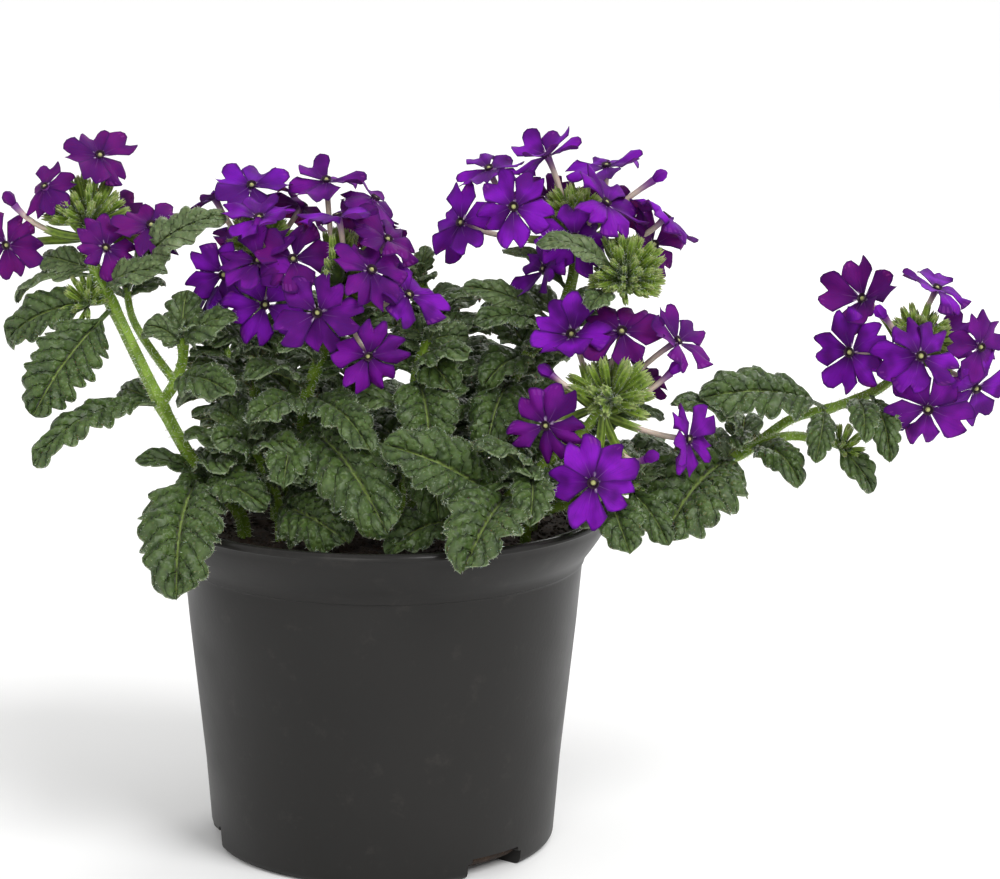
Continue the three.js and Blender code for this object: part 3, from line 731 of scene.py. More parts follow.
# %% [markdown]
# ## Compost
#
# The compost fills the pot to a few millimetres under the rim. Its body is
# turned like the pot, but its top is a fine grid that noise makes lumpy, so
# that it never reads as a lid. The loose crumbs on top come from a scatter
# tree further on.

# %% Fill the pot
SOIL_TOP = 92.0
SOIL_EDGE = 58.6
SOIL_SIDES = 120
SOIL_RINGS = 34


def soil_height(x, y):
    """The lumpy level of the compost at a place."""
    spot = Vector((x, y, 0)) * 0.08
    lumps = noise.fractal(spot, 0.9, 2.1, 5)
    grain = noise.noise(spot * 9)
    return SOIL_TOP - 0.6 + 1.5 * lumps + 0.35 * grain


soil_outline = [(0, 2.3), (FOOT_RADIUS - 4.2, 2.3), (FOOT_RADIUS - 2.1, 4.2),
                (54.6, BAND_BOTTOM), (57.6, 89.5)]
soil_outline += [(SOIL_EDGE * (1 - k / SOIL_RINGS), SOIL_TOP) for k in range(SOIL_RINGS)]
soil_outline += [(0, SOIL_TOP)]
soil_skin = Skin()
turned(soil_outline, SOIL_SIDES, soil_skin)
ground = soil_skin.points[0]
on_top = ground[:, 2] > SOIL_TOP - 1
ground[on_top, 2] = [soil_height(x, y) for x, y in ground[on_top, :2]]
soil_skin.marks["woolly"] = [np.where(on_top, 1.0, 0.0)]
soil = finish_piece("compost_bed", soil_skin.mesh("compost_bed"), compost, ["soil"])
print("compost faces:", len(soil.data.polygons))

# %% [markdown]
# ## A tree that scatters
#
# Crumbs on the compost and down on the leaves have one rule: many small
# shapes spread over a surface, each turned and sized by chance. A Geometry
# Nodes tree holds that rule. It spreads points over the faces, more densely
# where a mark says so, stands a randomly chosen small shape on each, and
# turns the whole into real faces with a finish.

# %% Helpers for trees
def add_sockets(tree, sockets):
    """Names what goes into a tree; one geometry comes out."""
    for name, kind in sockets:
        tree.interface.new_socket(name, in_out="INPUT", socket_type="NodeSocket" + kind)
    tree.interface.new_socket("Result", in_out="OUTPUT", socket_type="NodeSocketGeometry")


def random_value(tree, low, high, seed, kind="FLOAT"):
    """A random number for each element; low and high are values or sockets."""
    slots = {"FLOAT": (2, 3, 1), "INT": (4, 5, 2)}[kind]
    new = node(tree, "FunctionNodeRandomValue", data_type=kind)
    for key, value in ((slots[0], low), (slots[1], high), ("Seed", seed)):
        if isinstance(value, bpy.types.NodeSocket):
            tree.links.new(value, new.inputs[key])
        else:
            new.inputs[key].default_value = value
    return new.outputs[slots[2]]


def named(tree, name, kind="FLOAT"):
    """A mark that the points or faces carry."""
    return node(tree, "GeometryNodeInputNamedAttribute", {"Name": name}, data_type=kind).outputs[0]


def turn_by(tree, rotation, axis, angle):
    """Turns a rotation further, about one of its own axes."""
    extra = node(tree, "FunctionNodeAxisAngleToRotation", {"Axis": axis, "Angle": angle})
    return node(tree, "FunctionNodeRotateRotation",
                {"Rotation": rotation, "Rotate By": extra.outputs[0]},
                rotation_space="LOCAL").outputs[0]


def stand_shapes(tree, points, rotation, scale, group):
    """Stands a random shape on each point, as real faces with a finish."""
    shapes = node(tree, "GeometryNodeCollectionInfo", {
        "Collection": group["Shapes"], "Separate Children": True, "Reset Children": True})
    pick = random_value(tree, 0, 99, group["Seed"], "INT")
    stood = node(tree, "GeometryNodeInstanceOnPoints", {
        "Points": points, "Instance": shapes.outputs[0], "Pick Instance": True,
        "Instance Index": pick, "Rotation": rotation, "Scale": scale})
    real = node(tree, "GeometryNodeRealizeInstances", {0: stood.outputs[0]})
    done = node(tree, "GeometryNodeSetMaterial", {0: real.outputs[0], "Material": group["Finish"]})
    tree.links.new(done.outputs[0], node(tree, "NodeGroupOutput").inputs[0])


print("tree helpers ready")

# %% Build the scatter tree
def scatter_tree():
    tree = bpy.data.node_groups.new("Scatter over faces", "GeometryNodeTree")
    add_sockets(tree, [("Surface", "Geometry"), ("Shapes", "Collection"), ("Density", "Float"),
                       ("Least size", "Float"), ("Greatest size", "Float"), ("Lean", "Float"),
                       ("Seed", "Int"), ("Finish", "Material")])
    group = node(tree, "NodeGroupInput").outputs
    density = times(tree, group["Density"], named(tree, "woolly"))
    spread = node(tree, "GeometryNodeDistributePointsOnFaces", {
        "Mesh": group["Surface"], "Density": density, "Seed": group["Seed"]})
    lean = random_value(tree, times(tree, group["Lean"], -1.0), group["Lean"], 3)
    spin = random_value(tree, 0.0, 2 * math.pi, 5)
    rotation = turn_by(tree, spread.outputs["Rotation"], (0, 0, 1), spin)
    rotation = turn_by(tree, rotation, (1, 0, 0), lean)
    size = random_value(tree, group["Least size"], group["Greatest size"], 7)
    stand_shapes(tree, spread.outputs["Points"], rotation, size, group)
    return tree


scatter = scatter_tree()
print("scatter tree nodes:", len(scatter.nodes))

# %% Helpers that run a tree
def shape_collection(name, meshes):
    """A collection of small shapes for a tree to stand on points."""
    group = bpy.data.collections.new(name)
    for mesh in meshes:
        group.objects.link(bpy.data.objects.new(mesh.name, mesh))
    return group


def grown_mesh(name, mesh, tree, **inputs):
    """Runs a tree on a mesh and returns what it makes as a plain mesh."""
    carrier = bpy.data.objects.new(name, mesh)
    scene.collection.objects.link(carrier)
    growth = carrier.modifiers.new(name, "NODES")
    growth.node_group = tree
    for item in tree.interface.items_tree:
        key = item.name.replace(" ", "_")
        if item.item_type == "SOCKET" and item.in_out == "INPUT" and key in inputs:
            growth[item.identifier] = inputs[key]
    bpy.context.view_layer.update()
    made = bpy.data.meshes.new_from_object(
        carrier.evaluated_get(bpy.context.evaluated_depsgraph_get()))
    made.name = name
    bpy.data.objects.remove(carrier)
    return made


print("tree runner ready")

# %% [markdown]
# ### Crumbs
#
# A crumb of peat is an uneven little lump. Three lumps with few faces are
# enough, because each one lies at its own angle and size. A second pass adds
# a few larger bits of bark.

# %% Crumbs on the compost
def crumb_mesh(name, seed, flatness):
    lump = bmesh.new()
    bmesh.ops.create_icosphere(lump, subdivisions=1, radius=1)
    for corner in lump.verts:
        push = 0.75 + 0.45 * noise.noise(corner.co * 1.7 + Vector((seed, 0, 0)))
        corner.co = Vector((corner.co.x, corner.co.y, corner.co.z * flatness)) * push * MM
    mesh = bpy.data.meshes.new(name)
    lump.to_mesh(mesh)
    lump.free()
    return mesh


crumbs = shape_collection("crumbs", [crumb_mesh(f"crumb_{k}", 3.1 * k, 0.8) for k in range(3)])
bark = shape_collection("bark", [crumb_mesh(f"bark_{k}", 5.7 * k, 0.35) for k in range(2)])
crumb_skin = grown_mesh("soil_crumbs", soil.data.copy(), scatter, Shapes=crumbs, Density=230000.0,
                        Least_size=0.25, Greatest_size=1.1, Lean=1.5, Seed=4, Finish=compost)
bark_skin = grown_mesh("soil_bark", soil.data.copy(), scatter, Shapes=bark, Density=18000.0,
                       Least_size=0.8, Greatest_size=2.4, Lean=0.6, Seed=9, Finish=compost)
finish_piece("soil_crumbs", crumb_skin, compost, sharp=30)
finish_piece("soil_bark", bark_skin, compost, sharp=30)
print("crumb faces:", len(crumb_skin.polygons), "bark faces:", len(bark_skin.polygons))

# %% [markdown]
# ## The plant's plan
#
# Each shoot holds its stems: r is the half diagonal of the square stem, path
# its way up from the compost. A leaf is [place on the path from 0 to 1, tip
# x, y, z, width, face], where face turns it from the sky, 0, towards the
# front, 1. A pair is [place, bearing in degrees, length] and sets two leaves
# opposite each other. Fill says from which place to which place small leaves
# stand on the first stem, and how many pairs. The heads named for a shoot end
# its stems, in the same order.

# %% Plan of the shoots
SHOOTS = [
  {"name": "shoot_left", "fill": [0.2, 0.3, 2], "heads": ["a"], "stems": [
    {"r": 1.9, "path": [[-39, -18, 80], [-39, -18, 97], [-50, -20, 110], [-61, -18, 129],
      [-74, -14, 155], [-80, -10, 167], [-83, 0, 179]],
    "leaves": [
      [0.67, -94, -38, 130, 21, 0.8], [0.69, -106, -10, 145, 16, 0.6],
      [0.78, -105, -1, 157, 9, 0.3], [0.8, -97, 2, 168, 11, 0.7],
      [0.73, -59, -22, 168, 12, 0.6], [0.5, -94, -45, 119, 15, 0.25],
      [0.5, -75, -5, 131, 9, 0.8], [0.33, -68, -22, 115, 9, 0.4], [0.34, -53, -65, 89, 25, 0.8],
      [0.31, -30, -46, 107, 14, 0.6]]},
    {"r": 1.5, "path": [[-61, -18, 129], [-57, -17, 135], [-55, -16, 141], [-55, -15, 147]],
      "leaves": [[0.9, -65, -19, 152, 10, 0.6], [0.95, -54, -10, 160, 12, 0.7],
        [0.9, -40, -25, 156, 13, 0.6], [0.35, -40, -41, 138, 15, 0.6]]},
    {"r": 1.3, "path": [[-57, -17, 135], [-64, -9, 142], [-70, -3, 150], [-72, -2, 159]],
      "leaves": [[0.96, -44, -14, 183, 15, 0.6]]},
  ]},
  {"name": "shoot_centre_left", "fill": [0.22, 0.74, 8], "heads": ["b_left"], "stems": [
    {"r": 1.7, "path": [[-31, 4, 80], [-31, 4, 98], [-35, 4, 112], [-37, 8, 127], [-36, 7, 145],
      [-34, 4, 158], [-34, 0, 172]],
    "leaves": [[0.62, -46, -16, 147, 11, 0.6], [0.62, -24, -16, 147, 10, 0.6]],
    "pairs": [[0.45, 15, 24]]},
  ]},
  {"name": "shoot_centre_right", "fill": [0.24, 0.74, 8], "heads": ["b_right"], "stems": [
    {"r": 1.7, "path": [[-20, -13, 80], [-20, -13, 98], [-22, -13, 114], [-21, -12, 130],
      [-16, -11, 144], [-13, -11, 156], [-12, -12, 168]],
    "leaves": [[0.48, -34, -44, 130, 14, 0.6], [0.5, -2, -49, 126, 15, 0.5],
      [0.6, -26, -32, 150, 8, 0.6], [0.42, 3, -61, 105, 24, 0.75],
      [0.34, -25, -50, 117, 15, 0.5], [0.58, 2, -10, 146, 11, 0.3]]},
  ]},
  {"name": "shoot_right", "fill": [0.26, 0.68, 6], "heads": ["c", "d"], "stems": [
    {"r": 1.7, "path": [[20, 3, 80], [20, 3, 98], [28, 4, 118], [40, 2, 139], [48, 0, 150],
      [53, 1, 163], [53, 2, 180]],
    "leaves": [[0.5, 28, -17, 136, 15, 0.5], [0.66, 23, -14, 163, 10, 0.5],
      [0.6, 26, -22, 154, 11, 0.5], [0.45, 29, -31, 119, 17, 0.7],
      [0.78, 33, 8, 170, 7, 0.4], [0.55, 54, 18, 146, 12, 0.3]],
    "pairs": [[0.36, 60, 24]]},
    {"r": 1.5, "path": [[48, 0, 150], [56, -8, 155], [62, -13, 160], [67, -15, 167]],
      "leaves": [[0.86, 43, -24, 178, 10, 0.5], [0.6, 57, -34, 160, 9, 0.5]]},
  ]},
  {"name": "shoot_front_right", "fill": [0.3, 0.62, 4], "heads": ["e"], "stems": [
    {"r": 1.7, "path": [[30, -28, 80], [30, -28, 97], [37, -32, 108], [46, -34, 117],
      [56, -34, 126], [63, -30, 136]],
      "leaves": [[0.3, 3, -55, 127, 22, 0.75], [0.36, 24, -74, 99, 24, 0.75],
        [0.22, 2, -50, 97, 17, 0.6], [0.5, 41, -60, 106, 13, 0.7], [0.62, 80, -12, 128, 8, 0.5]]},
  ]},
  {"name": "shoot_far_right", "fill": [0.24, 0.5, 4], "heads": ["f", "f_side"], "stems": [
    {"r": 1.6, "path": [[43, -8, 80], [43, -8, 97], [56, -10, 103.5], [72, -8, 104], [90, -2, 108],
      [102, 0, 113], [115, 2, 122], [128, 2, 126], [142, 1, 133], [151, 0, 147]],
    "leaves": [
      [0.76, 88, -24, 134, 20, 0.5], [0.55, 82, -26, 135, 13, 0.5], [0.53, 77, -40, 98, 29, 0.75],
      [0.57, 116, -24, 111, 12, 0.6], [0.75, 120, -24, 116, 9, 0.7], [0.82, 133, -26, 124, 10, 0.6],
      [0.85, 141, -22, 117, 10, 0.6], [0.55, 104, 20, 121, 12, 0.5], [0.3, 78, 12, 116, 12, 0.3]]},
    {"r": 1.4, "path": [[102, 0, 113], [109, -4, 117.5], [116, -6, 119], [123, -7, 118],
      [129, -8, 117]],
      "leaves": [[0.92, 138, -14, 105, 10, 0.5]]},
  ]},
  {"name": "shoot_middle", "fill": [0.24, 0.86, 8], "heads": [], "stems": [
    {"r": 1.6, "path": [[8, 11, 80], [8, 11, 98], [12, 10, 112], [15, 11, 126], [15, 11, 139],
      [13, 9, 150], [10, 8, 161]],
    "leaves": [[0.66, 4, -8, 146, 18, 0.6], [0.82, 9, 2, 156, 11, 0.5], [1, 12, 9, 170, 7, 0.5],
      [0.72, 22, 20, 148, 9, 0.2]],
    "pairs": [[0.4, 80, 25]]},
  ]},
  {"name": "shoot_front", "fill": [0.3, 0.9, 5], "heads": [], "stems": [
    {"r": 1.6, "path": [[5, -19, 80], [5, -19, 98], [6, -19, 112], [8, -17, 126],
      [10, -14, 139], [13, -12, 147]],
    "leaves": [[0.78, 14, -38, 120, 19, 0.7], [0.6, 17, -46, 104, 18, 0.6],
      [0.97, 5, -12, 154, 9, 0.5], [0.98, 24, -14, 148, 12, 0.6], [0.9, 20, -28, 136, 14, 0.7]]},
  ]},
  {"name": "shoot_front_left", "fill": [0.4, 0.9, 4], "heads": [], "stems": [
    {"r": 1.5, "path": [[-28, -22, 80], [-28, -22, 98], [-31, -24, 110], [-36, -25, 119]],
      "leaves": [[0.95, -44, -40, 124, 13, 0.7], [0.4, -8, -50, 99, 21, 0.75],
        [0.8, -19, -36, 112, 10, 0.6]]},
  ]},
  {"name": "shoot_rim_right", "fill": [0.35, 0.9, 5], "heads": [], "stems": [
    {"r": 1.5, "path": [[41, -23, 80], [41, -23, 97], [53, -27, 104], [63, -28, 107],
      [71, -27, 110]],
      "leaves": [[0.75, 68, -52, 97, 15, 0.75], [0.5, 60, -40, 101, 11, 0.6],
        [0.9, 79, -44, 97, 11, 0.7], [1, 87, -25, 97, 10, 0.6], [0.85, 66, -8, 118, 12, 0.4]]},
  ]},
  {"name": "shoot_back_left", "fill": [0.15, 0.9, 8], "heads": [], "stems": [
    {"r": 1.6, "path": [[-30, 32, 80], [-30, 32, 98], [-36, 39, 110], [-44, 47, 121],
      [-50, 54, 133]],
      "leaves": [], "pairs": [[0.42, 30, 28], [0.66, 120, 26], [0.95, 30, 20]]},
  ]},
  {"name": "shoot_back", "fill": [0.15, 0.9, 8], "heads": [], "stems": [
    {"r": 1.6, "path": [[-5, 36, 80], [-5, 36, 98], [-8, 41, 115], [-13, 45, 131], [-16, 46, 146]],
      "leaves": [], "pairs": [[0.42, 60, 30], [0.66, 160, 26], [0.95, 60, 20]]},
  ]},
  {"name": "shoot_back_right", "fill": [0.15, 0.9, 8], "heads": [], "stems": [
    {"r": 1.6, "path": [[26, 31, 80], [26, 31, 98], [32, 39, 111], [40, 47, 124], [46, 53, 137]],
      "leaves": [], "pairs": [[0.42, -40, 30], [0.66, 50, 26], [0.95, -40, 20]]},
  ]},
]
print("shoots:", len(SHOOTS))

# %% [markdown]
# A head says where its dome of buds sits, the way it points, how far its buds
# reach, how far they spread from the axis in degrees, how many they are and
# their size. Drop is how far below the dome the florets leave the stalk. A
# floret is [x, y, z, size, front, lift]: front turns it towards -Y, less than
# 1 also turns it up, and so does a lift, which few have. Young ones are still
# folded. Hue leans all the petals of a head from blue, 0, to magenta, 1. The
# last two heads are small clusters of side buds.

# %% Plan of the heads
HEADS = {
  "a": {"at": [-83, 0, 179], "axis": [-0.1, 0.1, 1], "reach": 11.6, "spread": 95, "drop": 7.5,
    "buds": 88, "hue": 1.15, "young": [[-103, -4, 183]],
    "florets": [[-79, 2, 196, 0.95, 1.2], [-94, -5, 188, 0.85, 0.6], [-105, -5, 171, 0.95, 1.1],
      [-76, -13, 172, 0.9, 0.6, 1.4], [-64, -8, 178, 1, 0.5, 1.2], [-75, 13, 177, 1, 0]]},
  "b_left": {"at": [-34, 0, 172], "axis": [-0.1, 0, 1], "reach": 9.5, "spread": 95, "drop": 7,
    "buds": 40, "hue": 0.52,
    "florets": [[-37, 2, 188, 1, 0.9], [-48, 6, 184, 0.9, 0.2], [-44, -11, 164, 1, 1],
      [-50, -3, 157, 1, 0.5], [-34, -12, 181, 1, 0.1], [-34, -19, 170, 1.05, 0.4],
      [-32, -18, 157, 1, 1.8], [-38, 18, 171, 1, 0], [-23, 14, 181, 1, 0]]},
  "b_right": {"at": [-12, -12, 168], "axis": [0.1, 0, 1], "reach": 9.5, "spread": 95, "drop": 7,
    "buds": 40, "hue": 0.55,
    "florets": [[-16, 0, 190, 1, 0.8], [-2, 0, 185, 1, 0.1], [-12, -21, 183, 1, 0],
      [2, -18, 176, 1, 0.5], [-2, -28, 169, 1.05, -0.1], [-17, -31, 157, 1.05, 1.8],
      [-3, -31, 145, 0.95, 1], [8, -20, 161, 1, 0], [-24, -23, 171, 1, 0.1], [-4, 5, 175, 1, 0]]},
  "c": {"at": [53, 2, 180], "axis": [0, 0, 1], "reach": 9, "spread": 90, "drop": 7,
    "buds": 44, "hue": 0.68, "young": [[76, 4, 190]],
    "florets": [[45, 4, 197, 1, 0.4], [62, 6, 194, 1, 0], [36, -12, 184, 1.05, 1.5],
      [62, -13, 186, 1.1, 0.1], [29, 5, 193, 0.95, 0.4], [21, 0, 178, 1, 0.7],
      [79, -2, 181, 1, 0.1], [53, -15, 176, 1, 0.4], [76, 1, 172, 0.95, 1.2],
      [44, -6, 166, 0.9, 0], [46, 18, 184, 1, 0], [66, 17, 180, 1, 0]]},
  "d": {"at": [67, -15, 167], "axis": [0.1, -0.15, 1], "reach": 10.8, "spread": 120, "drop": 0,
    "buds": 110, "bud_size": 0.85, "florets": []},
  "e": {"at": [63, -30, 136], "axis": [0.15, -0.2, 1], "reach": 12, "spread": 105, "drop": 6.5,
    "buds": 38, "bud_size": 1.3, "hue": 0.72,
    "young": [[80, -26, 141], [46, -31, 141], [73, -38, 119]],
    "florets": [[52, -24, 151, 1.05, 2.4], [66, -24, 152, 1.08, 2.4], [82, -22, 149, 1, 0.9],
      [45, -39, 128, 1, 1.8], [58, -47, 114, 1.2, 1.9], [85, -31, 123, 0.95, 0.5],
      [71, -12, 138, 0.95, 0]]},
  "f": {"at": [151, 0, 147], "axis": [0.3, 0, 1], "reach": 9, "spread": 95, "drop": 6.5,
    "buds": 44, "hue": 0.55, "young": [[139, -8, 154]],
    "florets": [[134, 3, 157, 1.08, 0.9], [156, 6, 160, 1, 1.1], [130, -6, 143, 1.12, 1.6],
      [149, -17, 144, 1.15, 1.8], [167, -8, 145, 0.95, 0.9], [152, -13, 128, 1.12, 1.5],
      [167, -3, 132, 1.05, 0.9], [158, 14, 144, 1, 0]]},
  "f_side": {"at": [129, -8, 117], "axis": [0.5, -0.2, 0.8], "reach": 6.5, "spread": 100,
    "drop": 0, "buds": 22, "bud_size": 0.7, "florets": []},
  "a_side": {"at": [-82, -13, 157], "axis": [-0.4, -0.4, 0.8], "reach": 7.5, "spread": 105,
    "buds": 26, "bud_size": 0.75, "florets": []},
  "b_front": {"at": [-13, -25, 167], "axis": [0, -0.8, 0.5], "reach": 9.5, "spread": 50,
    "buds": 24, "bud_size": 0.85, "florets": []},
}
print("heads:", len(HEADS), "buds in all:", sum(head["buds"] for head in HEADS.values()))

# %% Rules of growth
def draw(seed):
    """A repeatable draw between 0 and 1."""
    s = math.sin(seed * 12.9898 + 4.1414) * 43758.5453
    return s - math.floor(s)


def unit(vector):
    vector = np.asarray(vector, float)
    return vector / np.linalg.norm(vector)


def unit_rows(vectors):
    return vectors / np.linalg.norm(vectors, axis=-1, keepdims=True)


def curve_points(points, places):
    """Points on the smooth path through some points, at places from 0 to 1."""
    p = np.array(points, float)
    p = np.vstack([2 * p[0] - p[1], p, 2 * p[-1] - p[-2]])
    run = np.clip(np.atleast_1d(places), 0, 1) * (len(points) - 1)
    k = np.minimum(run.astype(int), len(points) - 2)
    w = (run - k)[:, None]
    a, b, c, d = p[k], p[k + 1], p[k + 2], p[k + 3]
    m, n = (c - a) / 2, (d - b) / 2
    return ((2 * w ** 3 - 3 * w ** 2 + 1) * b + (w ** 3 - 2 * w ** 2 + w) * m
            + (3 * w ** 2 - 2 * w ** 3) * c + (w ** 3 - w ** 2) * n)


def curve_direction(points, place):
    ends = curve_points(points, [place - 0.001, place + 0.001])
    return unit(ends[1] - ends[0])


def side_frames(spine):
    """Two cross directions at each point of a line, carried along without twist."""
    ahead = np.gradient(spine, axis=0)
    ahead /= np.linalg.norm(ahead, axis=1)[:, None]
    aside = (0.31, 0.17, 0.93) if abs(ahead[0][2]) < 0.9 else (0, 1, 0)
    u = unit(np.cross(ahead[0], aside))
    first, second = [], []
    for direction in ahead:
        u = unit(u - direction * np.dot(u, direction))
        first.append(u)
        second.append(np.cross(direction, u))
    return np.array(first), np.array(second)


def tube_rings(spine, radii):
    """Rings of points round a line; radii has a row for each ring."""
    first, second = side_frames(spine)
    angles = np.linspace(0, 2 * math.pi, radii.shape[1], endpoint=False)
    across = first[:, None] * np.cos(angles)[None, :, None]
    across = across + second[:, None] * np.sin(angles)[None, :, None]
    return spine[:, None] + across * radii[..., None]


print("a draw:", round(draw(1), 3))

# %% [markdown]
# ## Stems
#
# A verbena stem is square, with a shallow groove along each side, and it
# swells a little where leaves leave it. A ring of sixteen points, drawn in
# between its four corners, is carried along the path. One mesh holds all the
# stems of a shoot.

# %% Grow the stems
STEM_RING = 16
STEM_STEP = 1.3              # millimetres between rings
ROUGH_STEPS = 60             # enough to measure a path's length
JOINT_SWELL = 0.1            # how much thicker the stem is where a leaf leaves it
JOINT_LENGTH = 2.2


def grow_stem(skin, stem):
    """One square stem along its path, thinner towards its top."""
    path = stem["path"]
    rough = curve_points(path, np.linspace(0, 1, ROUGH_STEPS))
    length = np.linalg.norm(np.diff(rough, axis=0), axis=1).sum()
    places = np.linspace(0, 1, int(length / STEM_STEP) + 2)
    spine = curve_points(path, places)
    angles = np.linspace(0, 2 * math.pi, STEM_RING, endpoint=False)
    square = 0.7 + 0.3 * np.abs(np.cos(2 * angles)) ** 1.6
    joints = [leaf[0] for leaf in stem["leaves"]] + [pair[0] for pair in stem.get("pairs", [])]
    swelling = np.ones(len(places))
    for joint in joints:
        swelling += JOINT_SWELL * np.exp(-((places - joint) * length / JOINT_LENGTH) ** 2)
    taper = 1.04 - 0.16 * places
    radii = stem["r"] * (swelling * taper)[:, None] * square[None, :]
    sleeve(tube_rings(spine, radii), skin, woolly=1.0)


print("stem ring points:", STEM_RING)

# %% [markdown]
# ## Leaves
#
# Leaves make the plant, so they get the most care. A blade is a thin plate on
# a grid. Its half width follows a rounded outline that teeth cut into, its
# surface puckers up between the side veins and dips at the midrib, and it
# folds, twists, waves and droops by amounts drawn for each leaf. The grid
# gives the blade coordinates that the finish reads, so teeth, puckers and
# drawn veins all meet.

# %% Outline and relief of a blade
LEAF_THICKNESS = 0.45
TOOTH_SPACING = 3.9          # millimetres along the blade
FEWEST_TEETH = 4
MOST_TEETH = 9
ROWS_PER_TOOTH = 5
LONG_LEAF = 26               # from this length on a leaf has the longer petiole
LONG_PETIOLE = 0.15          # as a share of the leaf's length
SHORT_PETIOLE = 0.09
HALF_COLUMNS = [0.17, 0.36, 0.56, 0.76, 0.93, 1]
BLADE_COLUMNS = np.array([-c for c in HALF_COLUMNS[::-1]] + [0] + HALF_COLUMNS)


def blade_rows(length):
    """Places along a leaf, the share its petiole takes and its number of teeth."""
    petiole = LONG_PETIOLE if length > LONG_LEAF else SHORT_PETIOLE
    teeth = round(length * (1 - petiole) / TOOTH_SPACING)
    teeth = int(np.clip(teeth, FEWEST_TEETH, MOST_TEETH))
    rows = np.linspace(0, 1, teeth * ROWS_PER_TOOTH + 1)
    places = np.concatenate([np.linspace(0, petiole, 4)[:-1], petiole + (1 - petiole) * rows])
    return places, petiole, teeth


def blade_outline(t, u, width, teeth, chance):
    """Half width, with the phase of the teeth along the blade and their round shape."""
    outline = np.sin(math.pi * u ** 0.88) ** 0.43 * (0.28 + 0.67 * np.clip(u / 0.22, 0, 1))
    phase = teeth * u + (1 + np.tanh(6 * t)) / 6
    scallop = np.sin(math.pi * (phase % 1)) ** 0.6
    depth = 0.21 + 0.1 * chance[0]
    cut = 1 - depth * (1 - scallop) * np.abs(t) ** 2
    half = np.maximum(width / 2 * outline, 0.55 + 0.015 * width) * cut
    return half, phase, scallop


def blade_relief(t, u, width, teeth, half, gap, on_blade, chance):
    """Height: puckers between veins, a sunken midrib, a fold, a curl and a wave."""
    pucker = (1 - np.exp(-(gap / 0.17) ** 2)) * (1 - np.abs(t) ** 6)
    pucker = pucker * np.clip(np.abs(t) / 0.2, 0, 1)
    z = 0.075 * width * pucker * on_blade
    z = z - 0.035 * width * np.exp(-(t / 0.14) ** 2) * on_blade
    z = z + (0.1 + 0.3 * chance[1]) * half * np.abs(t)
    z = z - (0.12 + 0.24 * chance[2]) * half * np.abs(t) ** 3
    wave = np.sin(math.pi * teeth * u * 0.8 + 6.3 * chance[3] + 2.2 * np.sign(t))
    z = z + 0.075 * width * wave * t ** 2 * np.clip(u / 0.3, 0, 1)
    return z


print("points across a blade:", len(BLADE_COLUMNS))

# %% Grow a leaf
def leaf_frame(root, tip, face, bow):
    """The leaf's side, the point its midrib bows towards, and its length."""
    length = np.linalg.norm(tip - root)
    along = (tip - root) / length
    wish = np.array([0, -face, 1 - 0.6 * face])
    normal = unit(wish - along * np.dot(wish, along))
    side = np.cross(along, normal)
    middle = (root + tip) / 2 + normal * 2 * bow * length
    return side, middle, length


def grow_leaf(skin, root, tip, width, face, bow, seed):
    """One leaf; s runs along it, u along its blade, and t across it from -1 to 1."""
    side, middle, length = leaf_frame(root, tip, face, bow)
    chance = [draw(seed + 17.3 * k) for k in range(8)]
    places, petiole, teeth = blade_rows(length)
    s = places[:, None]
    t = BLADE_COLUMNS[None, :]
    u = np.clip((s - petiole) / (1 - petiole), 0, 1)
    half, phase, scallop = blade_outline(t, u, width, teeth, chance)
    x = t * half
    gap = np.abs((phase + VEIN_SWEEP * (1 - np.abs(t)) - VEIN_START + 0.5) % 1 - 0.5)
    on_blade = np.clip(u / 0.1, 0, 1) * np.clip((1 - u) / 0.08, 0, 1)
    z = blade_relief(t, u, width, teeth, half, gap, on_blade, chance)
    twist = 0.7 * (chance[4] - 0.5) * (u - 0.2)
    x, z = x * np.cos(twist) - z * np.sin(twist), z * np.cos(twist) + x * np.sin(twist)
    droop = (0.03 + 0.1 * chance[5]) * length * np.clip((u - 0.5) / 0.5, 0, 1) ** 2
    sway = 0.07 * length * (chance[6] - 0.5) * np.sin(math.pi * u)

    # the blade along its bowed, drooping midrib, and the side below it
    rib = (1 - s) ** 2 * root + 2 * s * (1 - s) * middle + s ** 2 * tip
    slope = unit_rows(2 * (1 - s) * (middle - root) + 2 * s * (tip - middle))
    rise = unit_rows(np.cross(side, slope))
    forward = 0.12 * length / teeth * (scallop - 0.5) * np.abs(t) ** 3 * on_blade
    centre = rib[:, None] - rise[:, None] * droop[..., None] + side * sway[..., None]
    upper = (centre + side * x[..., None] + rise[:, None] * z[..., None]
             + slope[:, None] * forward[..., None])
    ridge = 0.5 * np.exp(-(gap / 0.13) ** 2) * on_blade + 1.3 * np.exp(-(t / 0.12) ** 2)
    thick = LEAF_THICKNESS * (1 + ridge * (1 - np.abs(t) ** 2))
    lower = upper - rise[:, None] * thick[..., None]

    # marks: short leaves and those near the top are young, margins are woolly
    rows, columns = upper.shape[:2]
    across = np.broadcast_to((t + 1) / 2, (rows, columns))
    phase = np.broadcast_to(phase, (rows, columns))
    blade = np.stack([across, phase], -1).reshape(-1, 2)
    youth = max(1.15 - length / 17, (tip[2] - 150) / 30)
    tone = np.clip(youth + 0.3 * (chance[7] - 0.5), 0, 1)
    margin = np.clip((np.abs(t) - 0.8) / 0.2, 0, 1) * np.ones((rows, 1))
    woolly = (0.02 + 0.98 * margin ** 2).ravel()
    skin.add(np.concatenate([upper.reshape(-1, 3), lower.reshape(-1, 3)]),
             plate_faces(rows, columns), np.concatenate([blade, blade]),
             tone=tone, upper=np.repeat([1.0, 0.0], rows * columns),
             woolly=np.concatenate([woolly, 0.6 * woolly]))


print("a leaf's margin has", FEWEST_TEETH, "to", MOST_TEETH, "teeth on each side")

# %% Leaves of a stem
PAIR_WIDTH = 0.6             # width of a paired leaf as a share of its length


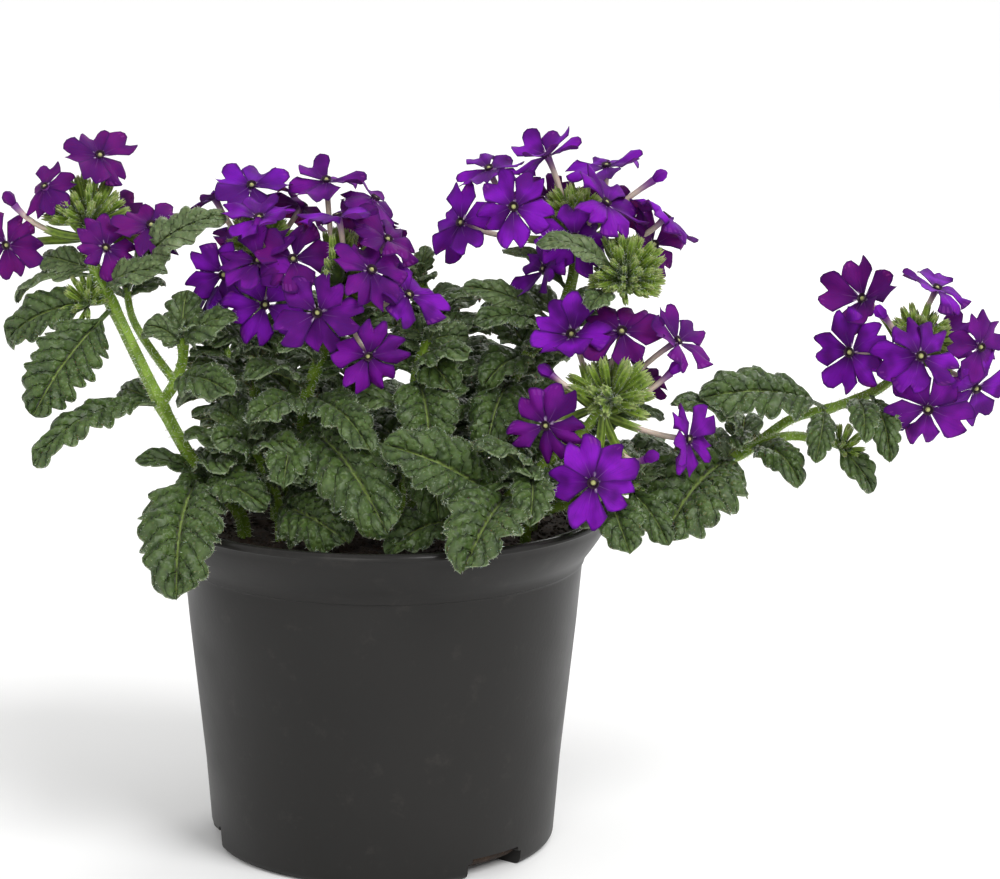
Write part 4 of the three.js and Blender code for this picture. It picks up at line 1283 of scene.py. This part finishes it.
def grow_leaves(skin, stem, row):
    """The leaves of a stem's plan: single ones by their tips, then its pairs."""
    path = stem["path"]
    for i, (place, x, y, z, width, face) in enumerate(stem["leaves"]):
        bow = 0.08 + 0.06 * draw(i + 10 * row + x)
        root = curve_points(path, place)[0]
        tip = np.array([x, y, z], float)
        grow_leaf(skin, root, tip, width, face, bow, seed=x + 3 * y + z)
    for place, bearing, length in stem.get("pairs", []):
        root = curve_points(path, place)[0]
        for turn in (0, 180):
            angle = math.radians(bearing + turn)
            rise = 0.1 + 0.45 * draw(bearing + turn + length)
            reach = unit((math.cos(angle), math.sin(angle), rise)) * length
            grow_leaf(skin, root, root + reach, PAIR_WIDTH * length, face=0.15, bow=0.12,
                      seed=bearing + turn + place)


all_stems = [stem for shoot in SHOOTS for stem in shoot["stems"]]
print("leaves placed one by one:", sum(len(stem["leaves"]) for stem in all_stems))

# %% [markdown]
# ### The small leaves between
#
# Between its large leaves a stem carries many small ones, in pairs that cross
# the pair below. They close the plant, so that hardly any compost or stem
# shows through the middle. A stem without a flower head ends in a tuft of
# young leaves that stand up.

# %% Fill the plant with small leaves
# young leaves at a stem's end: place on the path, length, and how steeply they rise
TUFT = [(0.9, 13, 0.35), (0.96, 10, 0.8), (1.0, 7.5, 1.5), (1.0, 5.5, 3.0)]
FILL_LENGTH = 23             # of the lowest small leaves, in millimetres
FILL_SHORTER = 6             # how much shorter the highest are
SMALL_WIDTH = 0.58           # width of a small leaf as a share of its length
FLORET_CLEARANCE = 11        # millimetres that small leaves keep from a floret's eye
FLORET_PLACES = np.array([floret[:3] for head in HEADS.values() for floret in head["florets"]])


def clearance(point):
    """The distance from a point to the nearest floret."""
    return np.linalg.norm(FLORET_PLACES - point, axis=1).min()


def leaf_pair(skin, root, bearing, length, rise, seed):
    """Two small leaves opposite each other, left out where a floret is near."""
    for turn in (0, 180):
        angle = math.radians(bearing + turn)
        lift = rise * (0.7 + 0.6 * draw(seed + turn))
        reach = unit((math.cos(angle), math.sin(angle), lift)) * length
        reach = reach * (0.85 + 0.3 * draw(seed - turn))
        if min(clearance(root + reach), clearance(root + 0.6 * reach)) > FLORET_CLEARANCE:
            grow_leaf(skin, root, root + reach, SMALL_WIDTH * length, face=0.25, bow=0.12,
                      seed=seed + 3 * turn)


def fill_stem(skin, path, first, last, count):
    """Pairs that cross each other, a little shorter towards the top."""
    for k, place in enumerate(np.linspace(first, last, count)):
        root = curve_points(path, place)[0]
        length = FILL_LENGTH - FILL_SHORTER * k / count + 4 * draw(k + path[0][0])
        bearing = 90 * k + 50 * draw(k + path[0][1])
        leaf_pair(skin, root, bearing, length, rise=0.45, seed=k + root[0])


def tuft(skin, path):
    """The young leaves that end a stem without a head."""
    for k, (place, length, rise) in enumerate(TUFT):
        root = curve_points(path, place)[0]
        leaf_pair(skin, root, 90 * k + 40 * draw(root[0]), length, rise, seed=k + root[1])


print("pairs of small leaves:", sum(shoot["fill"][2] for shoot in SHOOTS))

# %% Grow the shoots
hair_meshes = []
for shoot in SHOOTS:
    stem_skin, leaf_skin = Skin(), Skin()
    for row, stem in enumerate(shoot["stems"]):
        grow_stem(stem_skin, stem)
        grow_leaves(leaf_skin, stem, row)
        if row >= len(shoot["heads"]):
            tuft(leaf_skin, stem["path"])
    name = shoot["name"].replace("shoot_", "")
    fill_stem(leaf_skin, shoot["stems"][0]["path"], *shoot["fill"])
    leaf_mesh = leaf_skin.mesh(f"leaves_{name}")
    stem_mesh = stem_skin.mesh(f"stems_{name}")
    hair_meshes.append((name, leaf_mesh.copy(), stem_mesh.copy()))
    finish_piece(f"leaves_{name}", leaf_mesh, leaf_green, [shoot["name"]])
    finish_piece(f"stems_{name}", stem_mesh, stem_green, [shoot["name"]])
    print(name, "leaf faces:", len(leaf_mesh.polygons), "stem faces:", len(stem_mesh.polygons))

# %% [markdown]
# ## A tree that stands shapes on points
#
# Petals round an eye and buds on a dome follow one rule too: a few shapes,
# each stood on a point that knows which way it faces. The tree makes some
# copies of every point, turns each copy a fixed step further round, adds a
# small tilt by chance, and stands a shape on it. Five copies, a fifth of a
# turn apart, make a floret of five petals; one copy makes a bud.

# %% Build the standing tree
def standing_tree():
    tree = bpy.data.node_groups.new("Stand shapes on points", "GeometryNodeTree")
    add_sockets(tree, [("Points", "Geometry"), ("Shapes", "Collection"), ("Copies", "Int"),
                       ("Tilt", "Float"), ("Roll", "Float"), ("Uneven", "Float"),
                       ("Seed", "Int"), ("Finish", "Material")])
    group = node(tree, "NodeGroupInput").outputs
    copies = node(tree, "GeometryNodeDuplicateElements", {
        "Geometry": group["Points"], "Amount": group["Copies"]}, domain="POINT")
    facing = node(tree, "FunctionNodeAlignRotationToVector", {
        "Vector": named(tree, "facing", "FLOAT_VECTOR")}, axis="Z").outputs[0]
    share = maths(tree, "DIVIDE", copies.outputs["Duplicate Index"], group["Copies"])
    angle = maths(tree, "MULTIPLY_ADD", share, 2 * math.pi)
    tree.links.new(named(tree, "turn"), angle.node.inputs[2])
    chance = random_value(tree, -0.12, 0.12, 11)
    angle = maths(tree, "ADD", angle, times(tree, chance, group["Uneven"]))
    rotation = turn_by(tree, facing, (0, 0, 1), angle)
    tilt = times(tree, random_value(tree, -1.0, 1.0, 13), group["Tilt"])
    rotation = turn_by(tree, rotation, (1, 0, 0), maths(tree, "ADD", tilt, named(tree, "cup")))
    roll = times(tree, random_value(tree, -1.0, 1.0, 17), group["Roll"])
    rotation = turn_by(tree, rotation, (0, 1, 0), roll)
    uneven = times(tree, random_value(tree, -0.1, 0.1, 19), group["Uneven"])
    size = times(tree, named(tree, "size"), maths(tree, "ADD", uneven, 1.0))
    stand_shapes(tree, copies.outputs[0], rotation, size, group)
    return tree


standing = standing_tree()


def point_mesh(name, places, facing, turn, size, cup, tone):
    """A mesh of loose points that carry what the standing tree reads."""
    mesh = bpy.data.meshes.new(name)
    mesh.vertices.add(len(places))
    mesh.vertices.foreach_set("co", (np.array(places) * MM).ravel())
    mesh.attributes.new("facing", "FLOAT_VECTOR", "POINT").data.foreach_set(
        "vector", np.array(facing, np.float32).ravel())
    for mark, values in (("turn", turn), ("size", size), ("cup", cup), ("tone", tone)):
        values = np.broadcast_to(np.asarray(values, np.float32), len(places))
        mesh.attributes.new(mark, "FLOAT", "POINT").data.foreach_set("value", values)
    return mesh


print("standing tree nodes:", len(standing.nodes))

# %% [markdown]
# ## Petals
#
# A petal starts as a narrow claw at the eye, spreads into a broad blade and
# ends in two rounded lobes with a deep notch between them. It creases along
# its middle, ruffles towards its edge and curls at the tip. Six petals with
# different ruffles, mixed by the tree, are enough that no two florets look
# alike.

# %% Petal shapes
EYE_RADIUS = 1.15
PETAL_LENGTH = 10.6
PETAL_THICKNESS = 0.22
PETAL_STATIONS = [0, 0.1, 0.25, 0.5, 0.8, 1]
PETAL_HALVES = [0.75, 1.35, 2.4, 4.05, 5.35, 5.0]    # half widths at the stations
PETAL_ROWS = np.array([0, 0.32, 0.7, 1])
PETAL_SIDE = [0.17, 0.36, 0.55, 0.74, 0.9, 1]
PETAL_COLUMNS = np.array([-c for c in PETAL_SIDE[::-1]] + [0] + PETAL_SIDE)


def petal_mesh(name, seed):
    """One petal; s runs from its claw to its tip, and t across it from -1 to 1."""
    s = PETAL_ROWS[:, None]
    t = PETAL_COLUMNS[None, :]
    chance = [draw(seed + 7.9 * k) for k in range(8)]
    half = np.interp(s, PETAL_STATIONS, PETAL_HALVES) * (0.9 + 0.2 * chance[0])
    notch = (0.22 + 0.14 * chance[1]) * np.exp(-(t / 0.24) ** 2) * s ** 2
    corner = 0.42 * np.abs(t) ** 3.2 * s ** 1.2
    lopsided = 0.16 * (chance[2] - 0.5) * t * s ** 2
    y = EYE_RADIUS + s * PETAL_LENGTH * (1 - notch - corner - lopsided)
    x = t * half + 1.1 * (chance[3] - 0.5) * s ** 2

    # height: the claw dips, the middle creases, the edges cup, ruffle and curl
    z = -0.9 * (1 - s) ** 4 - 0.6 * np.exp(-(t / 0.3) ** 2) * s * (1.4 - s)
    z = z + (0.8 * (chance[4] - 0.4)) * half * t ** 2 * s
    z = z + 1.3 * s ** 2 * np.sin(5.2 * t + 6.3 * chance[5]) * np.abs(t)
    z = z + 0.4 * s * np.sin(9 * s + 2.0 * t + 6.3 * chance[6])
    z = z + (0.5 - 2.4 * chance[7]) * s ** 3
    upper = np.stack([x * np.ones_like(z), y * np.ones_like(z), z], -1)
    thin = PETAL_THICKNESS * (1 - 0.45 * s ** 2) * np.ones_like(t)
    lower = upper - np.stack([np.zeros_like(thin), np.zeros_like(thin), thin], -1)
    rows, columns = z.shape
    across = np.broadcast_to((t + 1) / 2, z.shape)
    blade = np.stack([across, np.broadcast_to(s, z.shape)], -1).reshape(-1, 2)
    skin = Skin()
    skin.add(np.concatenate([upper.reshape(-1, 3), lower.reshape(-1, 3)]),
             plate_faces(rows, columns), np.concatenate([blade, blade]),
             upper=np.repeat([1.0, 0.0], rows * columns))
    return skin.mesh(name)


petal_shapes = shape_collection("petals", [petal_mesh(f"petal_{k}", 2.3 + k) for k in range(6)])

# %% [markdown]
# ## Buds and eyes
#
# A bud is still its green calyx: a slender tube with five ribs that end in
# five pointed teeth. An eye is a small funnel with a dark wall and a pale
# tuft at its middle. Both are turned shapes of a few rings, kept light
# because they repeat so often.

# %% Calyx and eye shapes
CALYX_LENGTH = 8.6
RING = 10                    # points round a calyx: five ribs, five dips
RING_ANGLES = np.linspace(0, 2 * math.pi, RING, endpoint=False)
RIBS = np.where(np.arange(RING) % 2 == 0, 1.0, 0.0)


def ribbed_rings(heights, radii, ribs, teeth):
    """Rings whose ribs stand out and whose last ring is raised to teeth."""
    rings = []
    for height, radius in zip(heights, radii):
        r = radius * (1 + ribs * (RIBS - 0.5))
        rings.append(np.stack([r * np.cos(RING_ANGLES), r * np.sin(RING_ANGLES),
                               np.full(RING, height)], -1))
    rings[-1][:, 2] += teeth * (RIBS - 0.5)
    return np.array(rings)


def calyx_mesh(name, seed):
    heights = np.array([0, 0.1, 0.38, 0.68, 0.88, 0.98]) * CALYX_LENGTH
    radii = np.array([0.45, 0.65, 0.9, 1.02, 0.95, 0.55]) * (0.94 + 0.12 * draw(seed))
    rings = ribbed_rings(heights, radii, 0.28, 1.4)
    rings[..., 0] += 0.5 * (draw(seed + 3) - 0.5) * (rings[..., 2] / CALYX_LENGTH) ** 2 * 3
    skin = Skin()
    height = np.clip(rings[..., 2] / CALYX_LENGTH, 0, 1)
    sleeve(rings, skin, height=height, ridge=np.tile(RIBS, len(heights)), woolly=1.0)
    return skin.mesh(name)


def eye_mesh(name):
    """A small funnel: pale tuft, dark ring, wall and foot."""
    outline = [(0, -0.15), (0.4, -0.2), (0.62, -0.6), (0.95, -0.75), (1.3, 0.0),
               (1.42, -0.15), (1.1, -1.3), (0, -1.5)]
    skin = Skin()
    turned(outline[::-1], 10, skin)
    reach = np.linalg.norm(skin.points[0][:, :2], axis=1)
    skin.marks["height"] = [np.clip(reach / 1.3, 0, 1)]
    return skin.mesh(name)


calyx_shapes = shape_collection("calyces", [calyx_mesh(f"calyx_{k}", k + 0.4) for k in range(3)])
eye_shapes = shape_collection("eyes", [eye_mesh("eye_0")])

# %% [markdown]
# ## Heads
#
# Each head stands at the top of its stem. A dome of buds covers its middle.
# Round it, every open floret has a calyx sleeve that leaves the stem under
# the dome, a slender corolla tube that bends up out of it, and the five
# petals with their eye at its mouth.

# %% Place of the collar and the florets
LEAST_TURN = 0.3             # a floret never faces away from its own tube
WANDER = 0.7                 # how far florets stray from facing straight out
COLLAR_RADIUS = 1.6          # florets start this far from the stalk's middle
PATH_STEP = 0.002            # share of a stalk by which the collar is searched


def collar_of(path, drop):
    """The place and direction on the stalk where a head's florets leave it."""
    end = np.array(path[-1], float)
    place = 1.0
    while np.linalg.norm(end - curve_points(path, place)[0]) < drop:
        place -= PATH_STEP
    return curve_points(path, place)[0], curve_direction(path, min(place, 1 - PATH_STEP))


def floret_pose(head, collar, along, floret):
    """Where a floret's tube starts, where its eye is and which way it faces."""
    centre = np.array(floret[:3], float)
    outward = centre - collar
    outward = unit(outward - along * np.dot(outward, along))
    start = collar + outward * COLLAR_RADIUS
    tube = unit(centre - start)
    front = floret[4]
    facing = unit(centre - np.array(head["at"], float))
    rise = 0.2 + 0.2 * front + 0.8 * max(0, 1 - front) + sum(floret[5:])
    facing = unit(facing + np.array([0, -front, rise]))
    while np.dot(facing, tube) < LEAST_TURN:
        facing = unit(facing + 0.1 * tube)
    wander = np.array([draw(k + centre[0] + 2 * centre[2]) for k in (1, 2, 3)]) - 0.5
    return start, centre, unit(facing + WANDER * (1 - 0.35 * abs(front)) * wander)


print("heads with florets:", sum(bool(head["florets"]) for head in HEADS.values()))

# %% Tube and sleeve of a floret
SLEEVE_SHARE = 0.52          # share of the tube that its calyx covers
SLEEVE_LONGEST = 9.5
SLEEVE_STEPS = 41            # fine steps along the tube, from which rings are picked
SLEEVE_RADII = np.array([0.8, 1.05, 1.2, 1.25, 1.22, 1.18, 1.15, 0.88])
TUBE_RINGS = 12
TUBE_SIDES = 8
MOUTH_DEPTH = 0.9            # how far behind its eye a tube ends
KNOB_PLACES = np.array([-1.2, 0, 1.2, 2.6, 3.5])     # along the facing, from the eye
KNOB_RADII = np.array([0.75, 1.25, 1.7, 1.4, 0.45])


def bent_line(start, end, facing, steps):
    """A line that leaves its start straight and arrives along the facing."""
    reach = np.linalg.norm(end - start)
    middle = end - facing * 0.5 * reach
    s = np.linspace(0, 1, steps)[:, None]
    return (1 - s) ** 2 * start + 2 * s * (1 - s) * middle + s ** 2 * end


def grow_tube(tubes, sleeves, start, centre, facing):
    """The corolla tube of a floret, and the calyx sleeve round its lower part."""
    mouth = centre - facing * MOUTH_DEPTH
    spine = bent_line(start, mouth, facing, TUBE_RINGS)
    share = np.linspace(0, 1, TUBE_RINGS)
    radii = 0.72 + 0.12 * share + 0.35 * np.clip((share - 0.8) / 0.2, 0, 1) ** 2
    rings = tube_rings(spine, np.repeat(radii[:, None], TUBE_SIDES, 1))
    sleeve(rings, tubes, height=np.repeat(share, TUBE_SIDES))

    reach = np.linalg.norm(mouth - start)
    cover = min(SLEEVE_SHARE, SLEEVE_LONGEST / reach)
    rows = len(SLEEVE_RADII)
    spine = bent_line(start, mouth, facing, SLEEVE_STEPS)[:int(SLEEVE_STEPS * cover) + 1]
    spine = spine[np.linspace(0, len(spine) - 1, rows).astype(int)]
    rings = tube_rings(spine, SLEEVE_RADII[:, None] * (1 + 0.2 * (RIBS - 0.5))[None, :])
    ahead = unit(spine[-1] - spine[-2])
    rings[-1] += ahead * (1.5 * (RIBS - 0.35))[:, None]
    rings[-1] += 0.18 * RIBS[:, None] * (rings[-2] - spine[-2])
    # the height mark darkens the sleeve's foot with the bud finish's painted shade and pales its
    # teeth
    height = np.repeat(np.linspace(0, 1, rows), RING)
    sleeve(rings, sleeves, height=height, ridge=np.tile(RIBS, rows), woolly=1.0)


def grow_knob(skin, centre, facing, tone):
    """The petals of a floret that is about to open, still folded to a knob."""
    spine = centre + facing * KNOB_PLACES[:, None]
    radii = KNOB_RADII[:, None] * (1 + 0.16 * np.cos(np.arange(RING) * math.pi))
    across = np.tile(0.5 + 0.4 * np.cos(RING_ANGLES), len(KNOB_RADII))
    blade = np.stack([across, np.repeat([0.2, 0.4, 0.6, 0.8, 0.9], RING)], -1)
    sleeve(tube_rings(spine, radii), skin, blade=blade, tone=tone, upper=1.0)


print("rings of a calyx sleeve:", len(SLEEVE_RADII))

# %% Dome of buds
GOLDEN_ANGLE = 2.39996       # radians; it spaces the points of a spiral evenly
PETAL_DEPTH = 3.5            # how far behind its eye a petal may reach


def dome_points(head, count, length):
    """Points of a spiral over the dome, with the way each bud leans."""
    axis = unit(head["axis"])
    u = unit(np.cross(axis, (0.2, 1, 0.1)))
    v = np.cross(axis, u)
    places, facing = [], []
    for k in range(count):
        polar = math.radians(head["spread"]) * math.sqrt((k + 0.35) / count)
        turn = k * GOLDEN_ANGLE + 0.5 * draw(k + head["at"][0])
        out = axis * math.cos(polar) + (u * math.cos(turn) + v * math.sin(turn)) * math.sin(polar)
        lean = unit(out + 0.25 * axis)
        reach = head["reach"] * (0.94 + 0.12 * draw(3 * k + head["at"][1]))
        tip = np.array(head["at"]) + out * reach
        places.append(tip - lean * length)
        facing.append(lean)
    return np.array(places), np.array(facing)


def clear_of_petals(places, tips, poses):
    """Which buds do not pass through the petals of a floret."""
    clear = np.ones(len(places), bool)
    for _, centre, face in poses:
        depth = (tips - centre) @ face
        reach = np.linalg.norm(tips - centre - depth[:, None] * face, axis=1)
        foot = (places - centre) @ face
        clear &= (reach > PETAL_LENGTH + 1) | (depth < -PETAL_DEPTH) | (foot > 0.5)
    return clear


def grow_core(skin, place, radius):
    """The round end of the stalk that a head's buds stand on."""
    outline = [(radius * math.sin(a), -radius * math.cos(a)) for a in np.linspace(0, math.pi, 7)]
    # with height 0 the whole core takes the bud finish's painted shade at its strongest
    turned(outline, 12, skin, height=0.0, ridge=0.0)
    skin.points[-1] += np.array(place, float)


print("a spiral turns by", GOLDEN_ANGLE, "radians from bud to bud")

# %% Pose every floret
stalks = {key: stem["path"] for shoot in SHOOTS
          for key, stem in zip(shoot["heads"], shoot["stems"])}
homes = {key: shoot["name"] for shoot in SHOOTS for key in shoot["heads"]}
homes.update(a_side="shoot_left", b_front="shoot_centre_right")
collars = {key: collar_of(stalk, HEADS[key]["drop"]) for key, stalk in stalks.items()}
poses = {key: [floret_pose(HEADS[key], *collar, floret) for floret in HEADS[key]["florets"]]
         for key, collar in collars.items()}
all_poses = [pose for group in poses.values() for pose in group]
print("open florets:", len(all_poses))

# %% Buds of a head
FULL_TURN = 6.28             # radians, for turns drawn by chance
BUD_SIZE = 0.95              # where the plan of a head names no other
bud_meshes = []
cores = Skin()


def grow_buds(key, head):
    """The core of a head and its buds; a bud that would pierce petals is left out."""
    size = head.get("bud_size", BUD_SIZE)
    length = CALYX_LENGTH * size * 0.98
    grow_core(cores, head["at"], head["reach"] - length + 1.0)
    places, facing = dome_points(head, head["buds"], length)
    clear = clear_of_petals(places, places + facing * length, all_poses)
    places, facing = places[clear], facing[clear]
    turns = [FULL_TURN * draw(k + 0.7) for k in range(len(places))]
    dome = point_mesh(f"dome_{key}", places, facing, turns, size, 0.0, 0.5)
    buds = grown_mesh(f"buds_{key}", dome, standing, Shapes=calyx_shapes, Copies=1, Tilt=0.16,
                      Roll=0.16, Uneven=1.0, Seed=31, Finish=bud_green)
    bud_meshes.append((key, buds.copy()))
    finish_piece(f"buds_{key}", buds, bud_green, [homes[key]], sharp=70)
    print(key, "buds:", len(places))


print("bud rule ready")

# %% Florets of a head
def grow_florets(key, head):
    """The florets of a head: first those still folded, then the open ones."""
    tubes, sleeves, knobs = Skin(), Skin(), Skin()
    young = [floret_pose(head, *collars[key], [*place, 1, 0]) for place in head.get("young", [])]
    for start, centre, face in young:
        grow_tube(tubes, sleeves, start, centre, face)
        grow_knob(knobs, centre, face, head["hue"])
    if young:
        finish_piece(f"folded_{key}", knobs.mesh(f"folded_{key}"), petal_violet)
    for start, centre, face in poses[key]:
        grow_tube(tubes, sleeves, start, centre, face)
    centres = [pose[1] for pose in poses[key]]
    faces = [pose[2] for pose in poses[key]]

    turns, cups, tones, sizes = [], [], [], []
    for k, (x, y, _, size, *_) in enumerate(head["florets"]):
        turns.append(FULL_TURN * draw(k + 3 * x))
        cups.append(0.45 * (draw(2 * k + y) - 0.55))
        tones.append(np.clip(head["hue"] + 0.8 * (draw(5 * k + x) - 0.5), 0, 1))
        sizes.append(size)
    whorls = point_mesh(f"whorls_{key}", centres, faces, turns, sizes, cups, tones)
    petals = grown_mesh(f"petals_{key}", whorls, standing, Shapes=petal_shapes, Copies=5, Tilt=0.3,
                        Roll=0.3, Uneven=1.0, Seed=23, Finish=petal_violet)
    mouths = point_mesh(f"mouths_{key}", centres, faces, 0.0, sizes, 0.0, 0.5)
    eyes = grown_mesh(f"eyes_{key}", mouths, standing, Shapes=eye_shapes, Copies=1, Tilt=0.0,
                      Roll=0.0, Uneven=0.0, Seed=5, Finish=eye_centre)
    node_name = f"florets_{key}"
    finish_piece(f"petals_{key}", petals, petal_violet, [node_name])
    finish_piece(f"eyes_{key}", eyes, eye_centre, [node_name])
    finish_piece(f"tubes_{key}", tubes.mesh(f"tubes_{key}"), tube_pale, [node_name])
    finish_piece(f"calyces_{key}", sleeves.mesh(f"calyces_{key}"), bud_green, sharp=70)
    print(key, "petal faces:", len(petals.polygons))


print("floret rule ready")

# %% Grow the heads
for key, head in HEADS.items():
    grow_buds(key, head)
    if head["florets"]:
        grow_florets(key, head)
finish_piece("bud_cores", cores.mesh("bud_cores"), bud_green)
print("heads grown:", len(HEADS))

# %% [markdown]
# ## Down
#
# Verbena is a woolly plant: short pale hairs fringe its leaves, stems and
# calyces, and catch the light along every edge. A hair is a cone with three
# sides. The scatter tree stands it on the faces that a mark calls woolly,
# which on a leaf are those along the margin.

# %% Grow the down
HAIR_RADIUS = 0.06


def hair_mesh(name, lean):
    """A thin three-sided cone, one millimetre long, leaning a little."""
    angles = np.array([0, 2.1, 4.2])
    foot = np.stack([HAIR_RADIUS * np.cos(angles), HAIR_RADIUS * np.sin(angles), np.zeros(3)], -1)
    skin = Skin()
    skin.add(np.vstack([foot, [[lean, 0, 1.0]]]), [[[2, 1, 0], [0, 1, 3], [1, 2, 3], [2, 0, 3]]])
    return skin.mesh(name)


hairs = shape_collection("hairs", [hair_mesh("hair_0", 0.15), hair_mesh("hair_1", 0.4)])
LEAF_DOWN = 2200000.0        # hairs on a square metre where a leaf is woolliest
STEM_DOWN = 1500000.0
BUD_DOWN = 700000.0


def grow_down(name, mesh, density, length):
    """Hairs on a mesh; the longest have this length in millimetres."""
    down = grown_mesh(f"down_{name}", mesh, scatter, Shapes=hairs, Density=density,
                      Least_size=0.4 * length, Greatest_size=length, Lean=0.6, Seed=12,
                      Finish=plant_down)
    finish_piece(f"down_{name}", down, plant_down, sharp=80)
    print(name, "hairs:", len(down.polygons) // 4)


for name, leaf_mesh, stem_mesh in hair_meshes:
    grow_down(f"leaves_{name}", leaf_mesh, LEAF_DOWN, 0.95)
    grow_down(f"stems_{name}", stem_mesh, STEM_DOWN, 1.6)
for name, bud_mesh in bud_meshes:
    grow_down(f"buds_{name}", bud_mesh, BUD_DOWN, 1.0)
